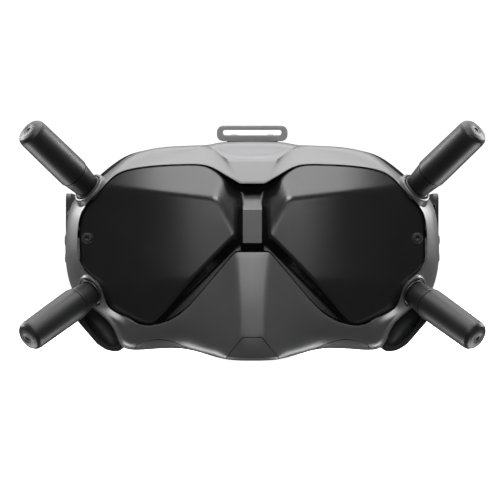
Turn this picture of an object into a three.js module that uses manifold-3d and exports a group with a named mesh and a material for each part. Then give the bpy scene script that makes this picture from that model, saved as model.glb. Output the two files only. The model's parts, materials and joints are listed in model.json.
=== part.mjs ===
// FPV goggles: a head-worn video display with four screw-on antennas.
// Millimetres. +X is the wearer's left, +Y points to the wearer's face, +Z is up.
// The origin is the bottom centre of the object's box.

import * as THREE from 'three';
import { mergeVertices } from 'three/addons/utils/BufferGeometryUtils.js';
import Module from 'manifold-3d';

const wasm = await Module();
wasm.setup();

// ---------- Driving dimensions ----------

const WALL = 2;                 // moulded wall thickness
const GAP = 0.3;                // clearance between neighbouring pieces
const LIP_DEPTH = 1.6;          // how far the front cover's inner edge turns in

const EYE_HEIGHT = 60;          // optical axes above the base
const HALF_IPD = 32;            // optical axis to the centre plane at rest
const IPD_TRAVEL = 3;           // each barrel's slide either way
const BARREL_RADIUS = 19.5;
const BARREL_FRONT = -7;
const BARREL_BACK = 19;

const VISOR_THICKNESS = 2.2;
const VISOR_GAP = 0.62;         // between the visor's rim and the cover's edge

const ANTENNA = {
  boltRadius: 3.1,              // threaded barrel of the connector
  flangeRadius: 6.8,
  neckLength: 10.3,
  neckBaseRadius: 6.2,
  tubeRadius: 7.75,
  tubeTipRadius: 7.5,
  totalLength: 44.7,
  endRound: 3.8,
};
const UPPER_ANTENNA = { name: 'upper', seat: [81.2, -21.2, 85.6], rise: 45.4, forward: 32 };
const LOWER_ANTENNA = { name: 'lower', seat: [79.6, -23, 33.7], rise: -37.3, forward: 38 };

// ---------- Materials ----------

function plastic(color, roughness, metalness = 0) {
  return new THREE.MeshStandardMaterial({ color, roughness, metalness });
}

const material = {
  greyPaint: plastic(0x6a6a6c, 0.42),
  darkVisor: plastic(0x1c1c1e, 0.38),
  blackPlastic: plastic(0x141415, 0.5),
  rubber: plastic(0x121212, 0.7),
  foam: plastic(0x1b1b1d, 0.9),
  steel: plastic(0x8d8f92, 0.35, 0.9),
  darkMetal: plastic(0x3a3b3d, 0.4, 0.9),
  aluminium: plastic(0xa5a8ab, 0.4, 0.85),
  circuit: plastic(0x16351f, 0.6),
  glass: plastic(0x9fb4c4, 0.05),
  lightPlastic: plastic(0xd6d6d8, 0.4),
  screen: plastic(0x0c0d10, 0.15),
};

// ---------- Solids ----------

// A closed geometry as a solid that can be joined and cut.
function solidOf(geometry) {
  const bare = geometry.clone();
  bare.deleteAttribute('normal');
  bare.deleteAttribute('uv');
  const merged = mergeVertices(bare, 1e-4);
  return new wasm.Manifold(new wasm.Mesh({
    numProp: 3,
    vertProperties: new Float32Array(merged.attributes.position.array),
    triVerts: new Uint32Array(merged.index.array),
  }));
}

// A solid as a geometry that three.js can show.
function geometryOf(solid) {
  const mesh = solid.getMesh();
  const stride = mesh.numProp;
  const positions = new Float32Array(mesh.numVert * 3);
  for (let i = 0; i < mesh.numVert; i++) {
    positions.set(mesh.vertProperties.subarray(i * stride, i * stride + 3), i * 3);
  }
  const geometry = new THREE.BufferGeometry();
  geometry.setAttribute('position', new THREE.BufferAttribute(positions, 3));
  geometry.setIndex(new THREE.BufferAttribute(new Uint32Array(mesh.triVerts), 1));
  geometry.computeVertexNormals();
  return geometry;
}

function box(size, centre) {
  return new THREE.BoxGeometry(...size).translate(...centre);
}

// A turned piece about +Z. The profile is [radius, height] from the bottom up.
function turned(profile, segments = 24) {
  const points = profile.map(([radius, height]) => new THREE.Vector2(radius, height));
  return new THREE.LatheGeometry(points, segments).rotateX(Math.PI / 2);
}

function rod(radius, bottom, top, segments = 24) {
  return turned([[0, bottom], [radius, bottom], [radius, top], [0, top]], segments);
}

function tube(outer, inner, bottom, top, segments = 24) {
  const profile = [[inner, bottom], [outer, bottom], [outer, top], [inner, top], [inner, bottom]];
  return turned(profile, segments);
}

// Turns a piece that was made about +Z to stand along another direction at a point.
function aimed(geometry, direction, point) {
  const turn = new THREE.Quaternion().setFromUnitVectors(
    new THREE.Vector3(0, 0, 1),
    new THREE.Vector3(...direction).normalize(),
  );
  return geometry.applyQuaternion(turn).translate(...point);
}

// A plate with an outline in X and Z, from one depth to another.
function plateXZ(outline, front, back, holes = []) {
  const shape = new THREE.Shape(outline.map(([x, z]) => new THREE.Vector2(x, z)));
  shape.holes = holes.map((hole) => new THREE.Path(hole.map(([x, z]) => new THREE.Vector2(x, z))));
  const plate = new THREE.ExtrudeGeometry(shape, { depth: back - front, bevelEnabled: false });
  return plate.rotateX(Math.PI / 2).translate(0, back, 0);
}

// The outline of two half circles joined by straight sides, centred on (x, z).
function stadium(x, z, halfStraight, radius, steps = 10) {
  const outline = [];
  for (let i = 0; i <= steps; i++) {
    const angle = -Math.PI / 2 + (Math.PI * i) / steps;
    outline.push([x + halfStraight + radius * Math.cos(angle), z + radius * Math.sin(angle)]);
  }
  for (let i = 0; i <= steps; i++) {
    const angle = Math.PI / 2 + (Math.PI * i) / steps;
    outline.push([x - halfStraight + radius * Math.cos(angle), z + radius * Math.sin(angle)]);
  }
  return outline;
}

// The right half of an outline, top to bottom, made whole by its mirror image.
function mirrored(half) {
  const left = half.filter(([x]) => x > 0).map(([x, ...rest]) => [-x, ...rest]);
  return [...half, ...left.reverse()];
}

function mirrorX(geometry) {
  const flipped = geometry.clone().scale(-1, 1, 1);
  const index = flipped.index
    ? flipped.index.array
    : Uint32Array.from({ length: flipped.attributes.position.count }, (_, i) => i);
  const turned = Uint32Array.from(index);
  for (let i = 0; i < turned.length; i += 3) {
    [turned[i + 1], turned[i + 2]] = [turned[i + 2], turned[i + 1]];
  }
  flipped.setIndex(new THREE.BufferAttribute(turned, 1));
  return flipped;
}

// ---------- Smooth shells from a control net ----------

// A net is a list of columns of {p: point, along, across}. "along" keeps a point sharp where
// the surface runs down its column, "across" where it runs from column to column.

function blend(a, b, share) {
  return a.map((value, k) => value + (b[k] - value) * share);
}

function softened(before, at, after) {
  return at.map((value, k) => (before[k] + 6 * value + after[k]) / 8);
}

// Halves a closed run of points as a cubic B-spline does, leaving sharp points where they are.
function halved(run, sharp, other) {
  const result = [];
  run.forEach((node, i) => {
    const before = run[(i + run.length - 1) % run.length];
    const after = run[(i + 1) % run.length];
    result.push({
      p: node[sharp] > 0 ? node.p : softened(before.p, node.p, after.p),
      [sharp]: Math.max(node[sharp] - 1, 0),
      [other]: node[other],
    });
    result.push({
      p: blend(node.p, after.p, 0.5),
      [sharp]: 0,
      [other]: Math.min(node[other], after[other]),
    });
  });
  return result;
}

// Rounds a net along its columns without adding points.
function relaxed(net) {
  return net.map((column) => halved(column, 'along', 'across').filter((_, i) => i % 2 === 0));
}

function transposed(net) {
  return net[0].map((_, j) => net.map((column) => column[j]));
}

// Doubles the columns of a net.
function refined(net) {
  return transposed(transposed(net).map((row) => halved(row, 'across', 'along')));
}

// A net closed both ways, as the skin of a ring-shaped solid.
function ringGeometry(net) {
  const columns = net.length;
  const rows = net[0].length;
  const positions = net.flatMap((column) => column.flatMap((node) => node.p));
  const triangles = [];
  for (let i = 0; i < columns; i++) {
    for (let j = 0; j < rows; j++) {
      const a = i * rows + j;
      const b = ((i + 1) % columns) * rows + j;
      const c = ((i + 1) % columns) * rows + ((j + 1) % rows);
      const d = i * rows + ((j + 1) % rows);
      triangles.push(a, b, c, a, c, d);
    }
  }
  const geometry = new THREE.BufferGeometry();
  geometry.setAttribute('position', new THREE.Float32BufferAttribute(positions, 3));
  geometry.setIndex(triangles);
  return geometry;
}

// The outward normal at each point of a net, closed from column to column and open along it.
function normalAt(net, i, j) {
  const columns = net.length;
  const before = net[(i + columns - 1) % columns][j].p;
  const after = net[(i + 1) % columns][j].p;
  const inner = net[i][Math.max(j - 1, 0)].p;
  const outer = net[i][Math.min(j + 1, net[i].length - 1)].p;
  const round = new THREE.Vector3(...after).sub(new THREE.Vector3(...before));
  const down = new THREE.Vector3(...outer).sub(new THREE.Vector3(...inner));
  return round.cross(down).normalize();
}

// Closes an outer skin into a wall: a turned-in lip at its start and a parallel inner skin.
function walled(outer, lip) {
  return outer.map((column, i) => {
    const inner = column.slice(1).map((node, k) => {
      const normal = normalAt(outer, i, k + 1);
      const p = node.p.map((value, axis) => value - WALL * normal.getComponent(axis));
      return { ...node, p };
    });
    const last = inner[inner.length - 1];
    last.p = [last.p[0], column[column.length - 1].p[1], last.p[2]];
    const first = column[0];
    const turnedIn = { ...first, p: [first.p[0], first.p[1] + lip, first.p[2]] };
    return [...column, ...inner.reverse(), turnedIn];
  });
}

// ---------- The front cover's control net ----------

// Right half, from the top centre clockwise to the bottom centre as the wearer's left is seen
// from the front. Each spoke runs from the visor opening outward and back:
// [opening edge, crease, shoulder, side, rear edge].
const COVER_SPOKES = [
  [[0, -47, 86.5], [0, -36, 99], [0, -29.5, 102.6], [0, -19, 109.4], [0, 10, 109.6]],
  [[6, -47, 86.5], [12, -36, 99], [13, -29.5, 102.6], [15, -19, 109.4], [15, 10, 109.6]],
  [[14.3, -42, 91.6], [17.6, -29.5, 102.6], [18.8, -24, 104.4], [21, -16, 107.6], [21, 10, 108]],
  [[22.1, -35, 96.7], [23.4, -23, 106], [24.2, -18, 106.8], [26, -11, 107.1], [26, 10, 107.3]],
  [[34, -33, 96.5], [34, -22, 104.6], [34, -16, 106.3], [34, -9, 106.9], [34, 10, 106.9]],
  [[45.5, -31, 96.3], [45.7, -20.5, 103.5], [46.1, -14.5, 105.8], [46.4, -8, 106.6], [47, 10, 107.1]],
  [[58.8, -28.5, 94.9], [59.2, -19.5, 100.4], [60.1, -13.5, 102.6], [61, -7, 103.4], [61.8, 10, 104.2]],
  [[65.8, -27.2, 92.8], [66.8, -19.5, 96], [67.4, -13.5, 96.9], [68, -7, 97.4], [69, 10, 98]],
  [[71.5, -27.6, 88], [73.3, -21, 90.4], [73.8, -14.5, 91.5], [74.3, -7.5, 92.2], [75.3, 10, 92.9]],
  [[75.6, -27, 82], [79.2, -20.5, 84.2], [81, -14, 85.1], [81.9, -7.5, 85.9], [83.4, 12, 86.6]],
  [[82.4, -25.5, 76.6], [86, -19, 78.4], [88.6, -13, 79.3], [90.5, -6, 80], [92.3, 14, 80.7]],
  [[85.8, -24, 70], [89, -17.5, 70.6], [91.7, -12, 71], [93.5, -5, 71.4], [95, 14, 71.8]],
  [[86.2, -24, 57], [90.2, -17.5, 57], [92.9, -11.5, 57], [94.6, -5, 57.1], [96, 14, 57.1]],
  [[85.6, -24, 47], [89.6, -17.8, 45.5], [92.3, -12, 44.7], [94, -5, 44.2], [95.5, 14, 44]],
  [[80, -26.5, 42.6], [85.5, -19, 38], [88.6, -14, 35.8], [90.6, -7, 34.6], [92.6, 10, 33.2]],
  [[74.8, -28.5, 38], [79.5, -21.8, 32], [82.3, -16.5, 29.4], [83.7, -12, 28.3], [83.9, -9, 27.7]],
  [[72, -30, 30], [75.4, -25.2, 26.5], [77.2, -20.5, 25], [78, -16.5, 24.3], [78, -12.5, 24]],
  [[70.4, -30.6, 25.5], [70.2, -27.4, 23.2], [72, -25, 21.6], [72.6, -18.5, 20.6], [72.6, -14.5, 20.6]],
  [[60.2, -32.8, 21], [62.9, -29.6, 17.8], [66.4, -28.4, 16.2], [67.6, -20.5, 14.9], [67.6, -15.5, 14.6]],
  [[53.3, -35, 17], [58.6, -31.8, 10], [63.4, -30, 5.6], [65.2, -21.5, 4], [65.6, -14.5, 3.8]],
  [[45, -37.3, 18.3], [46, -36, 11.5], [48.5, -31, 7], [50, -23.5, 5.6], [51, -12, 5.4]],
  [[34.2, -40.2, 22.5], [32.8, -39.5, 13.5], [32.5, -34, 7.6], [32.5, -26, 6.6], [33, -12, 6.4]],
  [[21.2, -42.8, 38.2], [20.5, -45, 21], [20.5, -46, 3.6], [21.5, -38, 3.2], [21, -13, 3]],
  [[8.2, -45.5, 53.5], [6.4, -51.5, 31], [5, -54.5, 12.5], [11.5, -52.3, 1.9], [11, -14, -0.6]],
  [[0, -46, 53.5], [0, -51.8, 31], [0, -54.8, 12.5], [0, -52.8, 1.9], [0, -14, -0.6]],
];
const LAST_SPOKE = COVER_SPOKES.length - 1;
const BROW_SPOKE = 3;           // the crisp crease over the brow ends here
const TRAPEZOID_SPOKE = 1;      // edge of the raised centre facet
const RIDGE_SPOKE = 23;         // edge of the nose ridge
const CORNER_SPOKES = [17, 19]; // the first and last spoke of the crease over a bay

function coverSharpness(spoke, level) {
  const edge = level === 0 || level === 4;
  const browCrease = level === 1 && spoke <= BROW_SPOKE;
  const cornerCrease = level === 1 && spoke >= CORNER_SPOKES[0] && spoke <= CORNER_SPOKES[1];
  const base = level === 3 && spoke >= RIDGE_SPOKE;
  const along = edge ? 3 : Number(browCrease || base || cornerCrease) * 2;
  const ridge = spoke === TRAPEZOID_SPOKE && level <= 1;
  const nose = spoke === RIDGE_SPOKE && level <= 2;
  return { along, across: ridge || nose ? 2 : 0 };
}

function wholeNet(half, sharpness) {
  const right = half.map((column, i) => column.map((p, j) => ({ p, ...sharpness(i, j) })));
  const left = right.slice(1, -1).map((column) => column.map((node) => ({
    ...node,
    p: [-node.p[0], node.p[1], node.p[2]],
  })));
  return [...right, ...left.reverse()];
}

const coverNet = wholeNet(COVER_SPOKES, coverSharpness);

// ---------- Antenna frames ----------

const degrees = THREE.MathUtils.degToRad;

function antennaAxis({ rise, forward }, side) {
  const level = Math.cos(degrees(forward));
  return [
    side * level * Math.cos(degrees(rise)),
    -Math.sin(degrees(forward)),
    level * Math.sin(degrees(rise)),
  ];
}

function antennaSeat({ seat }, side) {
  return [side * seat[0], seat[1], seat[2]];
}

const SIDES = [['left', 1], ['right', -1]];
const CORNERS = [UPPER_ANTENNA, LOWER_ANTENNA];

// ---------- Front cover and what is cut from it ----------

const BOSS = { topRadius: 8.4, footRadius: 9.8, length: 8, recess: 1.1, ringGap: 0.6 };
const SIDE_PANEL = { halfStraight: 13, radius: 6, depth: -1, height: 62 };
const INTAKE = { halfWidth: 13, front: -13, back: 5 };
const INSERT_OUTLINE = [[4.6, 13], [14.4, 0.6], [14.4, -5], [-14.4, -5], [-14.4, 0.6], [-4.6, 13]];
const TRIM_ARCH = [
  [57.9, 3], [57.3, 7.1], [55.7, 8.9], [51.7, 10.1], [46.8, 11.2], [41.9, 10.9],
  [37.7, 9.6], [33, 7.5], [28, 5.6], [28, -2], [57.9, -2],
];

// Moves an outline's points away from its middle by a distance.
function grown(outline, distance) {
  const total = outline.reduce(([x, z], p) => [x + p[0], z + p[1]], [0, 0]);
  const middle = total.map((sum) => sum / outline.length);
  return outline.map(([x, z]) => {
    const length = Math.hypot(x - middle[0], z - middle[1]);
    const scale = (length + distance) / length;
    return [middle[0] + (x - middle[0]) * scale, middle[1] + (z - middle[1]) * scale];
  });
}

function insertPrism(distance) {
  return solidOf(plateXZ(grown(INSERT_OUTLINE, distance), -60, -30 + distance));
}

function trimPrism(side, distance) {
  const outline = grown(TRIM_ARCH, distance);
  const prism = plateXZ(outline, -50, -18 + distance);
  return solidOf(side > 0 ? prism : mirrorX(prism));
}

// A prism through one side wall: a stadium outline in Y and Z.
function sidePanelPrism(side, distance) {
  const outline = stadium(0, 0, SIDE_PANEL.halfStraight, SIDE_PANEL.radius + distance, 7);
  const shape = new THREE.Shape(outline.map(([a, b]) => new THREE.Vector2(a, b)));
  const prism = new THREE.ExtrudeGeometry(shape, { depth: 16, bevelEnabled: false });
  prism.rotateY(-Math.PI / 2).translate(98, SIDE_PANEL.depth, SIDE_PANEL.height);
  return solidOf(side > 0 ? prism : mirrorX(prism));
}

// The opening's upper and lower edges as smooth runs of [x, z], from the centre outward.
function openingEdges() {
  const run = coverNet.map((column) => column[0]);
  let edge = run;
  for (let i = 0; i < 2; i++) edge = halved(edge, 'across', 'along');
  const right = edge.slice(0, (edge.length / 2) + 1).map(({ p }) => [p[0], p[2]]);
  const widest = right.reduce((best, [x], i) => (x > right[best][0] ? i : best), 0);
  return { upper: right.slice(0, widest + 1), lower: right.slice(widest).reverse() };
}

// The front opening as a prism, grown by a distance.
function openingPrism(distance) {
  const { upper, lower } = openingEdges();
  const right = [...upper, ...[...lower].reverse().slice(1)];
  return solidOf(plateXZ(grown([...mirrored(right)].reverse(), distance), -60, 0));
}

function coverShell() {
  let cover = solidOf(ringGeometry(refined(relaxed(walled(coverNet, LIP_DEPTH)))));
  const opening = openingPrism(GAP);
  for (const corner of CORNERS) {
    for (const [, side] of SIDES) {
      const axis = antennaAxis(corner, side);
      const seat = antennaSeat(corner, side);
      const boss = turned([
        [0, -BOSS.length], [BOSS.footRadius, -BOSS.length],
        [BOSS.topRadius, -0.6], [BOSS.topRadius - 0.6, 0], [0, 0],
      ], 20);
      cover = cover.add(solidOf(aimed(boss, axis, seat)).subtract(opening));
    }
  }
  for (const corner of CORNERS) {
    for (const [, side] of SIDES) {
      const axis = antennaAxis(corner, side);
      const seat = antennaSeat(corner, side);
      const bore = turned([
        [0, -20], [4.2, -20], [4.2, -BOSS.recess],
        [ANTENNA.flangeRadius + BOSS.ringGap, -BOSS.recess], [ANTENNA.flangeRadius + BOSS.ringGap, 5], [0, 5],
      ], 20);
      cover = cover.subtract(solidOf(aimed(bore, axis, seat)));
    }
  }
  const below = solidOf(box([300, 300, 20], [0, 0, -10]));
  return cover.subtract(below);
}

const coverSolid = coverShell();

function frontCover() {
  const grille = box(
    [2 * INTAKE.halfWidth, INTAKE.back - INTAKE.front, 20],
    [0, (INTAKE.back + INTAKE.front) / 2, 110],
  );
  let cover = coverSolid.subtract(insertPrism(0.15)).subtract(solidOf(grille));
  for (const [, side] of SIDES) {
    cover = cover.subtract(trimPrism(side, 0.15)).subtract(sidePanelPrism(side, 0.15));
  }
  return cover;
}

// The largest body of a cut, without the slivers that a cut can leave.
function mainBody(solid) {
  const bodies = solid.decompose();
  return bodies.reduce((best, body) => (body.volume() > best.volume() ? body : best));
}

// ---------- Visor ----------

function heightOn(edge, x) {
  for (let i = 1; i < edge.length; i++) {
    const [x0, z0] = edge[i - 1];
    const [x1, z1] = edge[i];
    if (x <= x1) return z0 + ((z1 - z0) * (x - x0)) / Math.max(x1 - x0, 1e-6);
  }
  return edge[edge.length - 1][1];
}

// How far forward the visor stands at (x, z): two wide eye facets with a brow facet above,
// a cheek facet below, steep walls on the nose side, and a bridge between them.
const EYE_FACET = { nose: 42.5, start: 8, slope: 0.12, curve: 0.0019 };

function visorForward(x, z) {
  const out = Math.abs(x);
  const beyond = Math.max(out - EYE_FACET.start, 0);
  const eye = EYE_FACET.nose - EYE_FACET.slope * beyond - EYE_FACET.curve * beyond ** 2;
  const brow = eye - 0.44 * (z - (77.1 + 0.121 * out));
  const cheek = eye - 0.15 * (39 - z);
  const diagonal = (8.1 - out) * 0.71 + (62 - z) * 0.7;
  const noseWall = Math.max(eye - 1.3 * diagonal, eye - 5.5);
  const innerWall = z < 74 ? eye - 2 * (8.3 - out) : eye;
  const innerBrow = eye - 0.5 * ((8.1 - out) * 0.863 + (z - 63.3) * 0.505);
  const facets = Math.min(eye, brow, cheek, noseWall, innerWall, innerBrow);
  const bridge = 40 - 2 * Math.max(out - 4.6, 0) - 2 * Math.max(58 - z, 0) - 0.35 * Math.max(z - 74, 0);
  return Math.max(facets, bridge);
}

const VISOR_COLUMNS = [0, 4.6, 6.3, 8.2, 14, 21, 28, 34, 41, 48, 53, 58, 66, 72, 77, 81, 85];
const VISOR_ROWS = 7;

function visorSheet(front) {
  const { upper, lower } = openingEdges();
  const half = VISOR_COLUMNS.map((x) => {
    const top = heightOn(upper, x) - VISOR_GAP * 1.4;
    const bottom = heightOn(lower, x) + VISOR_GAP * 1.4;
    const column = [];
    for (let j = 0; j < VISOR_ROWS; j++) {
      const z = top + ((bottom - top) * j) / (VISOR_ROWS - 1);
      column.push([x, -visorForward(x, z) + front, z]);
    }
    return column;
  });
  const left = half.slice(1).map((column) => column.map(([x, y, z]) => [-x, y, z]));
  return [...left.reverse(), ...half];
}

// A sheet of points, open at its rim, thickened backward into a solid.
function slabGeometry(sheet, thickness) {
  const columns = sheet.length;
  const rows = sheet[0].length;
  const count = columns * rows;
  const front = sheet.flat(2);
  const back = sheet.flat().flatMap(([x, y, z]) => [x, y + thickness, z]);
  const at = (i, j) => i * rows + j;
  const triangles = [];
  const quad = (a, b, c, d) => triangles.push(a, b, c, a, c, d);
  for (let i = 0; i < columns - 1; i++) {
    for (let j = 0; j < rows - 1; j++) {
      quad(at(i, j), at(i, j + 1), at(i + 1, j + 1), at(i + 1, j));
      quad(at(i, j) + count, at(i + 1, j) + count, at(i + 1, j + 1) + count, at(i, j + 1) + count);
    }
    quad(at(i, 0), at(i + 1, 0), at(i + 1, 0) + count, at(i, 0) + count);
    quad(at(i + 1, rows - 1), at(i, rows - 1), at(i, rows - 1) + count, at(i + 1, rows - 1) + count);
  }
  for (let j = 0; j < rows - 1; j++) {
    quad(at(0, j + 1), at(0, j), at(0, j) + count, at(0, j + 1) + count);
    const [upper, lower] = [at(columns - 1, j), at(columns - 1, j + 1)];
    quad(upper, lower, lower + count, upper + count);
  }
  const geometry = new THREE.BufferGeometry();
  geometry.setAttribute('position', new THREE.Float32BufferAttribute([...front, ...back], 3));
  geometry.setIndex(triangles);
  return geometry;
}

const VISOR_SCREW = { x: 81.4, z: 60.5, headRadius: 2.4, headHeight: 1.6, shaftRadius: 1.2, shaftLength: 8 };

function visorScrewSeat(side) {
  return [side * VISOR_SCREW.x, -visorForward(VISOR_SCREW.x, VISOR_SCREW.z), VISOR_SCREW.z];
}

const TOWARD_FACE = [0, 1, 0];
const AWAY_FROM_FACE = [0, -1, 0];

function visorPanel() {
  let panel = solidOf(slabGeometry(visorSheet(0), VISOR_THICKNESS));
  for (const [, side] of SIDES) {
    const hole = turned([
      [0, -10], [1.6, -10], [1.6, -1.2], [VISOR_SCREW.headRadius + GAP, -1.2],
      [VISOR_SCREW.headRadius + GAP, 6], [0, 6],
    ], 16);
    panel = panel.subtract(solidOf(aimed(hole, AWAY_FROM_FACE, visorScrewSeat(side))));
    for (const corner of CORNERS) {
      const clearance = rod(ANTENNA.boltRadius + 0.6, -6, -1, 16);
      panel = panel.subtract(solidOf(aimed(clearance, antennaAxis(corner, side), antennaSeat(corner, side))));
    }
  }
  return panel;
}

function visorScrew(side) {
  const { headRadius, headHeight, shaftRadius, shaftLength } = VISOR_SCREW;
  const under = -1.2 + GAP;
  const body = turned([
    [0, -shaftLength], [shaftRadius, -shaftLength], [shaftRadius, under], [headRadius, under],
    [headRadius, under + headHeight - 0.4], [headRadius - 0.4, under + headHeight], [0, under + headHeight],
  ], 16);
  const socket = rod(1.1, under + headHeight - 0.9, 5, 6);
  const screw = solidOf(body).subtract(solidOf(socket));
  return aimed(geometryOf(screw), AWAY_FROM_FACE, visorScrewSeat(side));
}

// ---------- Rear housing with its lower corner bays ----------

const HOUSING_REAR_HEIGHTS = { 20: [47, 4], 21: [33, 5.4], 22: [22, 14], 23: [12.5, 31], 24: [0, 38] };

function housingRearPoint([x, , z], spoke) {
  const special = HOUSING_REAR_HEIGHTS[spoke];
  const [rx, rz] = special ?? [x * 0.93, Math.min(55 + (z - 55) * 0.93, 103.5)];
  return [rx, 20 + 8 * (rx / 85) ** 2, rz];
}

// How far the housing stands outside the cover's rear edge at the upper corners.
const PROUD_CORNER = { 6: [0.1, 0.4], 7: [0.6, 1.9], 8: [1.4, 1.4], 9: [0.9, 0.6] };

const HOUSING_SPOKES = COVER_SPOKES.map((spoke, i) => {
  const [proudX, proudZ] = PROUD_CORNER[i] ?? [0, 0];
  const edge = [spoke[4][0] + proudX, spoke[4][1], spoke[4][2] + proudZ];
  const front = [edge[0], edge[1] + 0.4, edge[2]];
  const rear = housingRearPoint(edge, i);
  const middle = blend(front, rear, 0.5);
  const bulge = i >= RIDGE_SPOKE - 1 ? 0 : 0.8;
  const rise = middle[2] > 55 ? bulge : -bulge * 0.5;
  const spread = [middle[0] * (1 + bulge / 90), middle[1], middle[2] + rise];
  return [front, spread, rear];
});

const LOOP = {
  halfWidth: 18, height: 7.8, bar: 2.1, depth: 4.2, corner: 3.2, lean: 9,
  front: 4.5, bottom: 110.6, hingeDepth: 13.6, hingeHeight: 111.9, knuckleHalf: 7,
};
const KNOB = { depth: 4, width: 9, thickness: 4, bottom: 4.6 };
const STRAP_ARM = {
  x: 93.8, thickness: 2.6, front: 19, back: 44, height: 70, halfHeight: 14,
  pegs: [63, 73], pegDepth: 23.5, pegRadius: 1.8,
};

const BAY_OUTLINE = [
  [63.4, 7], [65.8, 15], [71.4, 21.4], [77.4, 25.4], [81.8, 29.4], [88.4, 33.6], [90, 32],
  [89.2, 24], [87.2, 19.4], [77.2, 7.8], [73.2, 5], [69.9, 4.1], [65.4, 4],
];
const BAY = { front: -16.5, back: 12 };
// The flat slanted face of a bay, where its sockets are: its middle and its outward normal.
const BAY_FACE = { middle: [82.2, 13.6], normal: [0.757, 0, -0.653] };

function bayPoint(side, depth, outward = 0) {
  return [
    side * (BAY_FACE.middle[0] + outward * BAY_FACE.normal[0]),
    depth,
    BAY_FACE.middle[1] + outward * BAY_FACE.normal[2],
  ];
}

function bayNormal(side) {
  return [side * BAY_FACE.normal[0], 0, BAY_FACE.normal[2]];
}

const POWER_JACK = { depth: -6, radius: 4, bore: 2.75, length: 9 };
const AUDIO_JACK = { depth: 5, radius: 3.2, bore: 1.8, length: 9 };
const LINK_BUTTON = { x: 70.5, depth: 2, radius: 1.6 };
const CARD_SLOT = { depth: 4.5, width: 7, height: 12.4 };
const USB_PORT = { depth: -6, width: 4.4, height: 10 };
// The rubber flap lies in a pocket. Heights are from the bay's face, outward.
const FLAP = {
  front: -10.8, back: 9.3, length: 13, bottom: -1.5, top: -0.1,
  hingeDepth: 10, hingeHeight: -0.9, knuckleRadius: 0.85, pocketFloor: -1.95, pocketBack: 11.3,
};

// A block that lies in a bay's slanted face, at a depth, with its outer end at a height
// above the face. Its width runs along Y and its height along the face.
function bayBlock(side, depth, width, height, inner, outer) {
  const block = new THREE.BoxGeometry(height, width, outer - inner).translate(0, 0, (inner + outer) / 2);
  const angle = Math.atan2(BAY_FACE.normal[0], BAY_FACE.normal[2]);
  block.rotateY(angle);
  block.translate(BAY_FACE.middle[0], depth, BAY_FACE.middle[1]);
  return side > 0 ? block : mirrorX(block);
}

function housingBay(side) {
  const plate = plateXZ([...BAY_OUTLINE].reverse(), BAY.front, BAY.back);
  return solidOf(side > 0 ? plate : mirrorX(plate));
}

function bayDish(side) {
  const dish = new THREE.SphereGeometry(1, 18, 12).scale(11.2, 5.5, 5.4).rotateY(degrees(-48));
  dish.translate(74, BAY.front - 1, 16.8);
  return solidOf(side > 0 ? dish : mirrorX(dish));
}

function rearHousing() {
  const net = wholeNet(HOUSING_SPOKES, (i, j) => ({ along: j === 1 ? 0 : 3, across: 0 }));
  const wall = net.map((column, i) => {
    const inner = column.map((node, j) => {
      const normal = normalAt(net, i, j);
      return {
        ...node,
        p: [node.p[0] - WALL * normal.x, node.p[1], node.p[2] - WALL * normal.z],
      };
    });
    return [...column, ...inner.reverse()];
  });
  let housing = solidOf(ringGeometry(refined(relaxed(wall))));
  for (const [, side] of SIDES) {
    housing = housing.add(housingBay(side)).subtract(bayDish(side));
  }
  const cut = (geometry) => { housing = housing.subtract(solidOf(geometry)); };
  const jackHole = (jack) => rod(jack.radius + GAP, -jack.length - GAP, 5, 20);
  cut(aimed(jackHole(POWER_JACK), bayNormal(1), bayPoint(1, POWER_JACK.depth)));
  cut(aimed(jackHole(AUDIO_JACK), bayNormal(1), bayPoint(1, AUDIO_JACK.depth)));
  for (const socket of [USB_PORT, CARD_SLOT]) {
    cut(bayBlock(-1, socket.depth, socket.width + 2 * GAP, socket.height + 2 * GAP, -9 - GAP, 5));
  }
  const pocketFront = FLAP.front - GAP;
  const pocketWidth = FLAP.pocketBack - pocketFront;
  const pocketMiddle = (FLAP.pocketBack + pocketFront) / 2;
  cut(bayBlock(-1, pocketMiddle, pocketWidth, FLAP.length + 2 * GAP, FLAP.pocketFloor, 5));
  cut(rod(LINK_BUTTON.radius + GAP, -5, 8, 16).translate(LINK_BUTTON.x, LINK_BUTTON.depth, 0));
  for (const [, side] of SIDES) {
    const slot = stadium(side * HALF_IPD, 0, IPD_TRAVEL + 3, 2.6, 6);
    const shape = new THREE.Shape(slot.map(([a, b]) => new THREE.Vector2(a, b)));
    cut(new THREE.ExtrudeGeometry(shape, { depth: 24, bevelEnabled: false }).translate(0, KNOB.depth, -6));
  }
  for (const [, side] of SIDES) {
    for (const peg of STRAP_ARM.pegs) {
      cut(aimed(rod(STRAP_ARM.pegRadius + GAP, -8, 8, 14), [1, 0, 0], [side * 90, STRAP_ARM.pegDepth, peg]));
    }
  }
  for (const shift of [[0, GAP, 0], [0, 0, -GAP], [0, 0.1, 0]]) {
    housing = housing.subtract(coverSolid.translate(shift));
  }
  return mainBody(housing.add(loopEars()).subtract(solidOf(box([300, 300, 20], [0, 0, -10]))));
}

const housingSolid = rearHousing();

// ---------- Face frame and foam ----------

// Centre line of the ring that meets the face, right half, top to bottom.
const FACE_LINE = [
  [0, 97], [10, 97.3], [17, 97.4], [24, 97.2], [33, 96.3], [43, 94.3], [53, 91], [60, 87.5],
  [66, 83], [71, 77], [74.5, 71], [76.5, 64], [77.2, 55], [76.3, 46], [74, 38], [71, 31.5],
  [67, 25.5], [62.5, 20], [57.5, 16.6], [51.5, 12.8], [44, 10.6], [34.5, 12.4], [25, 21], [14.5, 34], [0, 40],
];
const FLANGE_OUT = 7;
const FLANGE_IN = 6;

function faceDepth(x) {
  return 26.4 + 16 * (x / 78) ** 2;
}

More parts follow.
